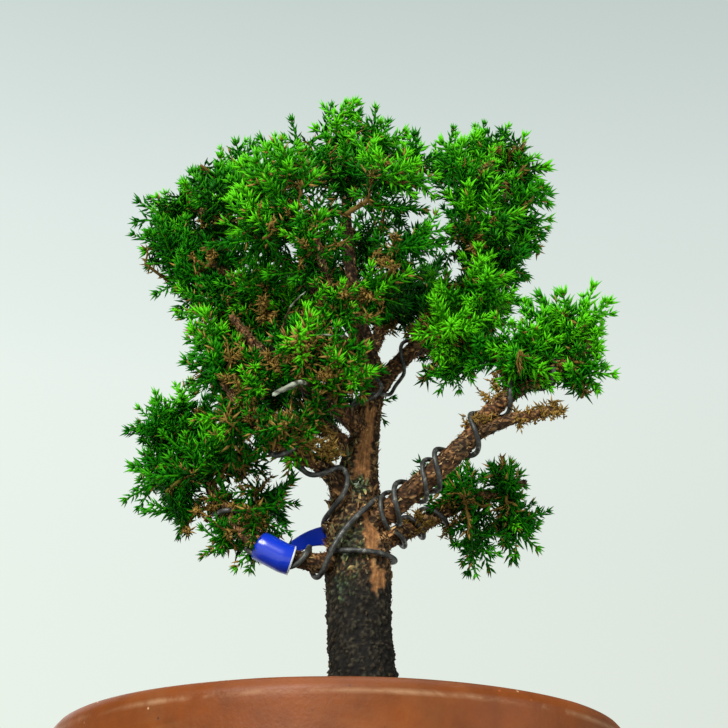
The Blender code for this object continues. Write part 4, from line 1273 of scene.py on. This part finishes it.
def wire_routes(p):
    """Name, thickness and points of each wire, in the order that they were put on."""
    trunk = p["trunk"]
    thick, medium, thin = 2.0 * MM, 1.8 * MM, 1.5 * MM
    left_wire = coil(trunk, 92.3, 91.2, -52, 142, thick)
    left_wire += coil(trunk, 91.6, 104.5, 104, 150, thick)
    left_wire += via((-3.4, -9.8, 202.6), (1.2, -12.2, 205), (4.2, -12.8, 208.5), (4.4, -13, 212),
                     (2.2, -12.4, 215.5))
    left_wire += coil(p["branch_mid_left"], 17, 60, 96, -1030, thick)

    long_wire = coil(p["branch_lower_left"], 62, 36, 60, 590, thick)
    long_wire += coil(p["branch_lower_left"], 34, 21.5, 270, 0, thick)
    long_wire += coil(p["branch_lower_left"], 20, 12.3, 290, 340, thick)
    long_wire += via((-5.2, -10.5, 181.3), (-3.9, -12.9, 184.5), (-1.1, -13.4, 190.5), (1.5, -13.2, 195))
    long_wire += via((4.4, -12, 199))
    long_wire += coil(p["branch_right"], 6.5, 92, 222, -1810, thick)

    right_wire = coil(p["branch_lower_right"], 49, 30, 470, -470, medium)
    right_wire += coil(p["branch_lower_right"], 29, 13, -10, -720, medium)
    right_wire += coil(p["branch_right"], 7.5, 35, 75, -566, medium)

    crown_wire = coil(trunk, 146, 153, -120, 240, thin)
    crown_wire += coil(p["branch_upper_right"], 10, 74, 150, -1440, thin)

    upper_wire = coil(p["branch_mid_left_upper"], 46, 12, 30, 900, thin)
    upper_wire += coil(trunk, 142, 160, -60, 200, thin)[3:-3]
    upper_wire += coil(p["branch_left_upper"], 12, 50, -90, -900, thin)
    return {
        "wire_trunk_to_mid_left": (thick, left_wire),
        "wire_lower_left_to_right": (thick, long_wire),
        "wire_lower_right_to_right": (medium, right_wire),
        "wire_upper_right": (thin, crown_wire),
        "wire_left_upper_pair": (thin, upper_wire),
    }


# ---------------------------------------------------------------- operators

def wear(piece, slot, *nodes):
    """The piece rides on the tree's one body and stands for its CAD nodes, which are hidden. The slot is not used."""
    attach(piece, "root")
    if nodes:
        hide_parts(*nodes)
    return piece


class BONSAI_OT_stage(bpy.types.Operator):
    """Adds the pale floor, the soft lights and the camera"""
    bl_idname = "bonsai.stage"
    bl_label = "Stage"

    def execute(self, context):
        deselect_all()
        bpy.ops.mesh.primitive_circle_add(vertices=96, radius=6.0, fill_type="NGON", location=(0, 0, 0))
        floor = context.object
        floor.name = "floor"
        material, tree, shader = new_material("pale_floor")
        feed(tree, shader, {"Base Color": (0.57, 0.60, 0.575), "Roughness": 0.7})
        floor.data.materials.append(material)
        self.add_sky(context)
        self.add_light("key", (-0.40, -1.05, 0.95), 30, 4.5, (1.0, 0.985, 0.95))
        self.add_light("fill", (1.2, -0.55, 0.50), 40, 0.8, (0.95, 0.98, 1.0))
        self.add_light("back", (-0.5, 1.1, 0.75), 40, 0.7, (1.0, 1.0, 1.0))
        self.add_light("top", (0.05, 0.10, 1.5), 40, 1.3, (1.0, 1.0, 0.98))
        context.scene.view_settings.view_transform = "Standard"
        lens = bpy.data.cameras.new("camera")
        lens.lens = 87.47
        lens.sensor_width = 36.0
        lens.clip_start = 0.01
        camera = bpy.data.objects.new("camera", lens)
        camera.location = (0.008145, -0.560, 0.02126)
        camera.rotation_euler = (math.radians(90 + 22.934), 0, 0)
        context.scene.collection.objects.link(camera)
        context.scene.camera = camera
        return {"FINISHED"}

    def add_sky(self, context):
        """A pale backdrop: greyer above, lightest at the level of the tree."""
        world = bpy.data.worlds.new("studio")
        context.scene.world = world
        world.use_nodes = True
        tree = world.node_tree
        sideways, _, upward = split_axes(tree, node(tree, "ShaderNodeTexCoord").outputs["Generated"])
        glow = ramp(tree, upward, [
            (0.0, (0.80, 0.86, 0.80)), (0.20, (0.80, 0.87, 0.79)), (0.38, (0.80, 0.875, 0.825)),
            (0.47, (0.72, 0.80, 0.77)), (0.57, (0.575, 0.665, 0.635)), (1.0, (0.50, 0.56, 0.55))])
        sideways = maths(tree, "MAXIMUM", maths(tree, "MINIMUM", sideways, 0.22), -0.22)
        evenness = maths(tree, "ADD", maths(tree, "MULTIPLY", sideways, -0.28), 0.965)
        # the backdrop is lit more than the tree is lit by it
        seen = node(tree, "ShaderNodeLightPath").outputs["Is Camera Ray"]
        strength = maths(tree, "ADD", maths(tree, "MULTIPLY", seen, 0.73), 0.27)
        feed(tree, tree.nodes["Background"], {"Color": mix_colour(tree, 1.0, glow, evenness, "MULTIPLY"),
                                              "Strength": strength})

    def add_light(self, name, place, spread, power, colour):
        """A soft light from the direction of place, as wide in the sky as spread degrees."""
        light = bpy.data.lights.new(name, "SUN")
        light.angle = math.radians(spread)
        light.energy = power
        light.color = colour
        lamp = bpy.data.objects.new(name, light)
        lamp.location = place
        aim = Vector((0, 0, 0.25)) - Vector(place)
        lamp.rotation_euler = aim.to_track_quat("-Z", "Y").to_euler()
        bpy.context.scene.collection.objects.link(lamp)


class BONSAI_OT_pot(bpy.types.Operator):
    """Turns the clay pot again, finely, with the marks of the wheel"""
    bl_idname = "bonsai.pot"
    bl_label = "Pot"

    def execute(self, context):
        rim = settings().rim_radius / MM
        top = float(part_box("pot")[1][2]) / MM
        lip, low, wall = 4, top - 27, rim - 5.2
        outline = [(rim - lip + lip * math.cos(a), top - lip + lip * math.sin(a))
                   for a in np.radians(np.linspace(0, 180, 17))]
        outline += [
            (81, top - 10), (78.2, low), (wall - 6.5, low - 6), (56, 17), (55.2, 14.4), (53.2, 12.6), (51, 12),
            (12, 12), (11.2, 11.7), (11, 11), (11, 5.8), (11.8, 5), (52, 5), (53, 4.6), (53.6, 0.6), (54.3, 0),
            (60.8, 0), (61.7, 0.5), (62, 1.4), (62.8, 7), (63.4, 9.4), (wall - 0.4, low - 3.2),
            (wall + 0.6, low - 1.6), (wall + 2.6, low - 0.4), (wall + 3.7, low + 0.6), (wall + 4.2, low + 2.2),
            (rim - 0.7, top - 14)]
        outline = self.dense(outline, 3)
        around = 200
        rows = []
        for radius, level in outline:
            wheel = 0.10 * math.sin(level * 1.9) + 0.06 * math.sin(level * 5.3)
            outer = 1.0 if radius > 50 and level > 1.5 else 0.0
            for i in range(around):
                angle = 2 * math.pi * i / around
                place = Vector((math.cos(angle) * 2.2, math.sin(angle) * 2.2, level * 0.014))
                hand = noise.noise(place) * 0.30 + noise.noise(place * 5) * 0.07
                r = radius + (wheel + hand) * outer
                if outer:
                    r = min(r, rim)
                z = min(level + noise.noise(place * 1.3) * 0.18 * outer, top)
                rows.append((r * math.cos(angle) * MM, r * math.sin(angle) * MM, z * MM))
        faces = band_faces(len(outline), around, closed=True)
        wear(mesh_object("clay_pot", np.array(rows), [faces], clay_material()), "clay", "pot")
        return {"FINISHED"}

    def dense(self, outline, step):
        """The outline with points added on its long straight stretches."""
        out = []
        for here, there in zip(outline, outline[1:] + outline[:1]):
            parts = max(1, int(math.dist(here, there) / step))
            for part in range(parts):
                t = part / parts
                out.append((here[0] + (there[0] - here[0]) * t, here[1] + (there[1] - here[1]) * t))
        return out


class BONSAI_OT_filling(bpy.types.Operator):
    """Finishes the drainage and covers the soil with loose grains"""
    bl_idname = "bonsai.filling"
    bl_label = "Soil and Drainage"

    def execute(self, context):
        nodes = frame["nodes"]
        soil = soil_material()
        for name, material in (("soil", soil), ("drainage_gravel", gravel_material()),
                               ("drain_screen", screen_material()), ("screen_staple", wire_material())):
            nodes[name].data.materials.clear()
            nodes[name].data.materials.append(material)
        rng = np.random.default_rng(settings().seed + 1)
        deselect_all()
        bpy.ops.mesh.primitive_ico_sphere_add(subdivisions=1, radius=1.0, location=(0, 0, 0))
        shape, faces = taken_apart(context.object)
        edge = 79 * MM
        builder = Builder()
        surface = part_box("soil")[1][2]
        for _ in range(5200):
            radius = edge * math.sqrt(rng.random())
            angle = rng.random() * 2 * math.pi
            x, y = radius * math.cos(angle), radius * math.sin(angle)
            if math.hypot(x - 8 * MM, y) < 13.5 * MM:
                continue
            size = rng.uniform(0.7, 2.1) * MM
            if radius + size > edge:
                continue
            level = surface - 2.3 * MM * max(0.0, (radius - 30 * MM) / (46 * MM)) + rng.uniform(-0.3, 0.3) * size
            lumps = shape * (1 + 0.22 * rng.normal(size=(len(shape), 1))) * size * rng.uniform(0.75, 1.15, 3)
            builder.add(lumps + np.array((x, y, level)), [faces])
        grains = builder.object("soil_grains", soil, smooth=False)
        wear(grains, "soil_grit")
        return {"FINISHED"}


class BONSAI_OT_wood(bpy.types.Operator):
    """Grows the bark of the trunk and branches, and its loose flakes"""
    bl_idname = "bonsai.wood"
    bl_label = "Trunk and Branches"

    def execute(self, context):
        bark = bark_material()
        rng = np.random.default_rng(settings().seed + 2)
        noise.seed_set(settings().seed + 1)  # a seed of 0 would be drawn from the clock
        trunk = grow_bark("trunk", TRUNK, 0.5 * MM, 132, bark)
        wear(trunk, "bark", "trunk")
        for name, table in BRANCHES.items():
            limb = grow_bark(name, table, 0.55 * MM, 36, bark)
            wear(limb, "bark", name)
        flakes = Flakes()
        flake_limb(flakes, TRUNK[3:17], 1100, (1.0, 3.0), (0.5, 1.3), (0.02, 0.32), rng, is_trunk=True, sink=0.1)
        add_tufts(flakes, rng)
        wear(flakes.object("trunk_flakes", bark), "bark")
        for name, table in BRANCHES.items():
            flakes = Flakes()
            count = int(distances_along(np.array(table))[-1] * FLAKES_PER_MM)
            flake_limb(flakes, table, count, (0.8, 2.4), (0.3, 0.8), (0.1, 0.95), rng)
            if name == "branch_mid_left_upper":
                for twig in PALE_TWIGS:
                    flakes.add_twig(twig)
            wear(flakes.object(name + "_flakes", bark), "bark")
        return {"FINISHED"}


class BONSAI_OT_foliage(bpy.types.Operator):
    """Grows twigs, sprays and needles in place of each cloud of foliage"""
    bl_idname = "bonsai.foliage"
    bl_label = "Foliage"

    def execute(self, context):
        s = settings()
        material = needle_material()
        heart = np.array(TREE_HEART) * MM
        paths = {name: smooth_path(table, 3 * MM) for name, table in limb_tables().items()}
        for number, (name, (limb_names, withered, lobes, clumps)) in enumerate(PADS.items()):
            rng = np.random.default_rng(s.seed * 100 + number)
            builder = Builder()
            needles = Needles()
            limbs = np.vstack([paths[limb][len(paths[limb]) // 3:, :3] for limb in limb_names])
            starts = []
            for point, outward, fresh in lobe_points(lobes, heart, rng):
                root = limbs[int(np.argmin(np.linalg.norm(limbs - point, axis=1)))]
                # painted shade and light: sprays facing into the tree get darker, older greens and those facing out
                # and up lighter, fresher ones, partly as fresher growth outside
                depth = outward @ unit(point - heart)
                tint = fresh - 0.14 + 0.16 * depth + 0.10 * outward[2] + rng.normal() * 0.10
                length = s.spray_length * rng.uniform(0.6, 1.15)
                starts.append(grow_spray(needles, builder, root, point, outward, length, rng, tint,
                                         s.needle_length * rng.uniform(0.72, 1.12)))
            wood = grow_twigs(builder, needles, limbs, np.array(starts), rng, s.needle_length)
            grow_dead_clumps(builder, needles, clumps, wood, rng, s.needle_length)
            needles.build(builder, s.needle_width, withered, rng)
            wear(builder.object("needles_" + name, material), "leaves", "foliage_" + name)
        return {"FINISHED"}


class BONSAI_OT_wires(bpy.types.Operator):
    """Winds the training wires"""
    bl_idname = "bonsai.wires"
    bl_label = "Training Wires"

    def execute(self, context):
        material = wire_material()
        paths = {name: smooth_path(table) for name, table in limb_tables().items()}
        obstacles = [(path[:, :3], path[:, 3]) for path in paths.values()]
        for name, (thickness, points) in wire_routes(paths).items():
            line = settled(points, obstacles, thickness)
            obstacles.append((line, np.full(len(line), thickness / 2)))
            rows = np.hstack([line, np.full((len(line), 1), thickness * WIRE_DRAWN / 2)])
            fine = smooth_path(rows / MM, 0.8 * MM)
            verts, faces = tube_arrays(fine, 14, tip=False)
            wire = mesh_object(name + "_strand", verts, faces, material)
            wear(wire, "dark_wire", name)
        return {"FINISHED"}


class BONSAI_OT_tag(bpy.types.Operator):
    """Loops the plastic tag round the lower left branch"""
    bl_idname = "bonsai.tag"
    bl_label = "Tag"

    def execute(self, context):
        path = smooth_path(BRANCHES["branch_lower_left"])
        bm = bmesh.new()
        uv_layer = bm.loops.layers.uv.new("OFBake")
        place_of = {}
        grid = []
        for i in range(TAG_ROWS):
            t = i / (TAG_ROWS - 1)
            angle = math.radians(TAG_START + TAG_TURN * t)
            line = []
            for j in range(TAG_COLUMNS):
                share = j / (TAG_COLUMNS - 1)
                centre, _, direction = along(path, (TAG_NEAR + (TAG_FAR - TAG_NEAR) * share) * MM)
                front, up = across_limb(direction)
                offset = (front * math.cos(angle) + up * math.sin(angle)) * TAG_RADIUS - up * TAG_SAG
                vert = bm.verts.new(centre + offset * MM)
                place_of[vert] = (share, 0.3 + 0.7 * t)
                line.append(vert)
            grid.append(line)
        for lower, upper in zip(grid, grid[1:]):
            self.add_strip(bm, lower, upper)
        # the tail runs from half of the loop's first row back to the trunk
        before = grid[0][TAG_COLUMNS // 2:]
        starts = [np.array(vert.co) for vert in before]
        ends = np.array(TAIL_END) * MM
        for i in range(1, TAIL_ROWS + 1):
            t = i / TAIL_ROWS
            bulge = math.sin(math.pi * t) * TAIL_BULGE * MM
            line = []
            for j, start in enumerate(starts):
                share = j / (len(starts) - 1)
                end = np.array([np.interp(share, (0, 0.5, 1), ends[:, k]) for k in range(3)])
                vert = bm.verts.new(start + (end - start) * t + np.array((0.0, bulge, bulge)))
                place_of[vert] = (0.1 + 0.8 * share, 0.3 - 0.3 * t)
                line.append(vert)
            self.add_strip(bm, before, line)
            before = line
        bmesh.ops.recalc_face_normals(bm, faces=bm.faces)
        for face in bm.faces:
            for loop in face.loops:
                loop[uv_layer].uv = place_of[loop.vert]
        mesh = bpy.data.meshes.new("tag_strip")
        bm.to_mesh(mesh)
        bm.free()
        tag = bpy.data.objects.new("tag_strip", mesh)
        context.scene.collection.objects.link(tag)
        mesh.materials.append(tag_material())
        mesh.shade_smooth()
        solidify = tag.modifiers.new("thickness", "SOLIDIFY")
        solidify.thickness = TAG_THICKNESS * MM
        solidify.offset = 0.0
        deselect_all()
        context.view_layer.objects.active = tag
        tag.select_set(True)
        bpy.ops.object.modifier_apply(modifier="thickness")
        wear(tag, "tag_plastic", "tag")
        return {"FINISHED"}

    def add_strip(self, bm, lower, upper):
        """A row of faces between two lines of points."""
        for j in range(len(lower) - 1):
            bm.faces.new((lower[j], lower[j + 1], upper[j + 1], upper[j]))


class BONSAI_PT_panel(bpy.types.Panel):
    """Lists the bonsai's sizes, colours and operators"""
    bl_label = "Bonsai"
    bl_idname = "BONSAI_PT_panel"
    bl_space_type = "VIEW_3D"
    bl_region_type = "UI"
    bl_category = "Bonsai"

    def draw(self, context):
        for name in BonsaiSettings.__annotations__:
            self.layout.prop(context.scene.bonsai, name)
        for operator in OPERATORS:
            self.layout.operator(operator.bl_idname)


OPERATORS = (BONSAI_OT_stage, BONSAI_OT_pot, BONSAI_OT_filling, BONSAI_OT_wood, BONSAI_OT_foliage,
             BONSAI_OT_wires, BONSAI_OT_tag)


def register():
    for cls in (BonsaiSettings, *OPERATORS, BONSAI_PT_panel):
        bpy.utils.register_class(cls)
    bpy.types.Scene.bonsai = bpy.props.PointerProperty(type=BonsaiSettings)


def unregister():
    del bpy.types.Scene.bonsai
    for cls in reversed((BonsaiSettings, *OPERATORS, BONSAI_PT_panel)):
        bpy.utils.unregister_class(cls)


def main():
    register()
    bpy.ops.bonsai.stage()
    bpy.ops.bonsai.pot()
    bpy.ops.bonsai.filling()
    bpy.ops.bonsai.wood()
    bpy.ops.bonsai.foliage()
    bpy.ops.bonsai.wires()
    bpy.ops.bonsai.tag()


if __name__ == "__main__":
    main()
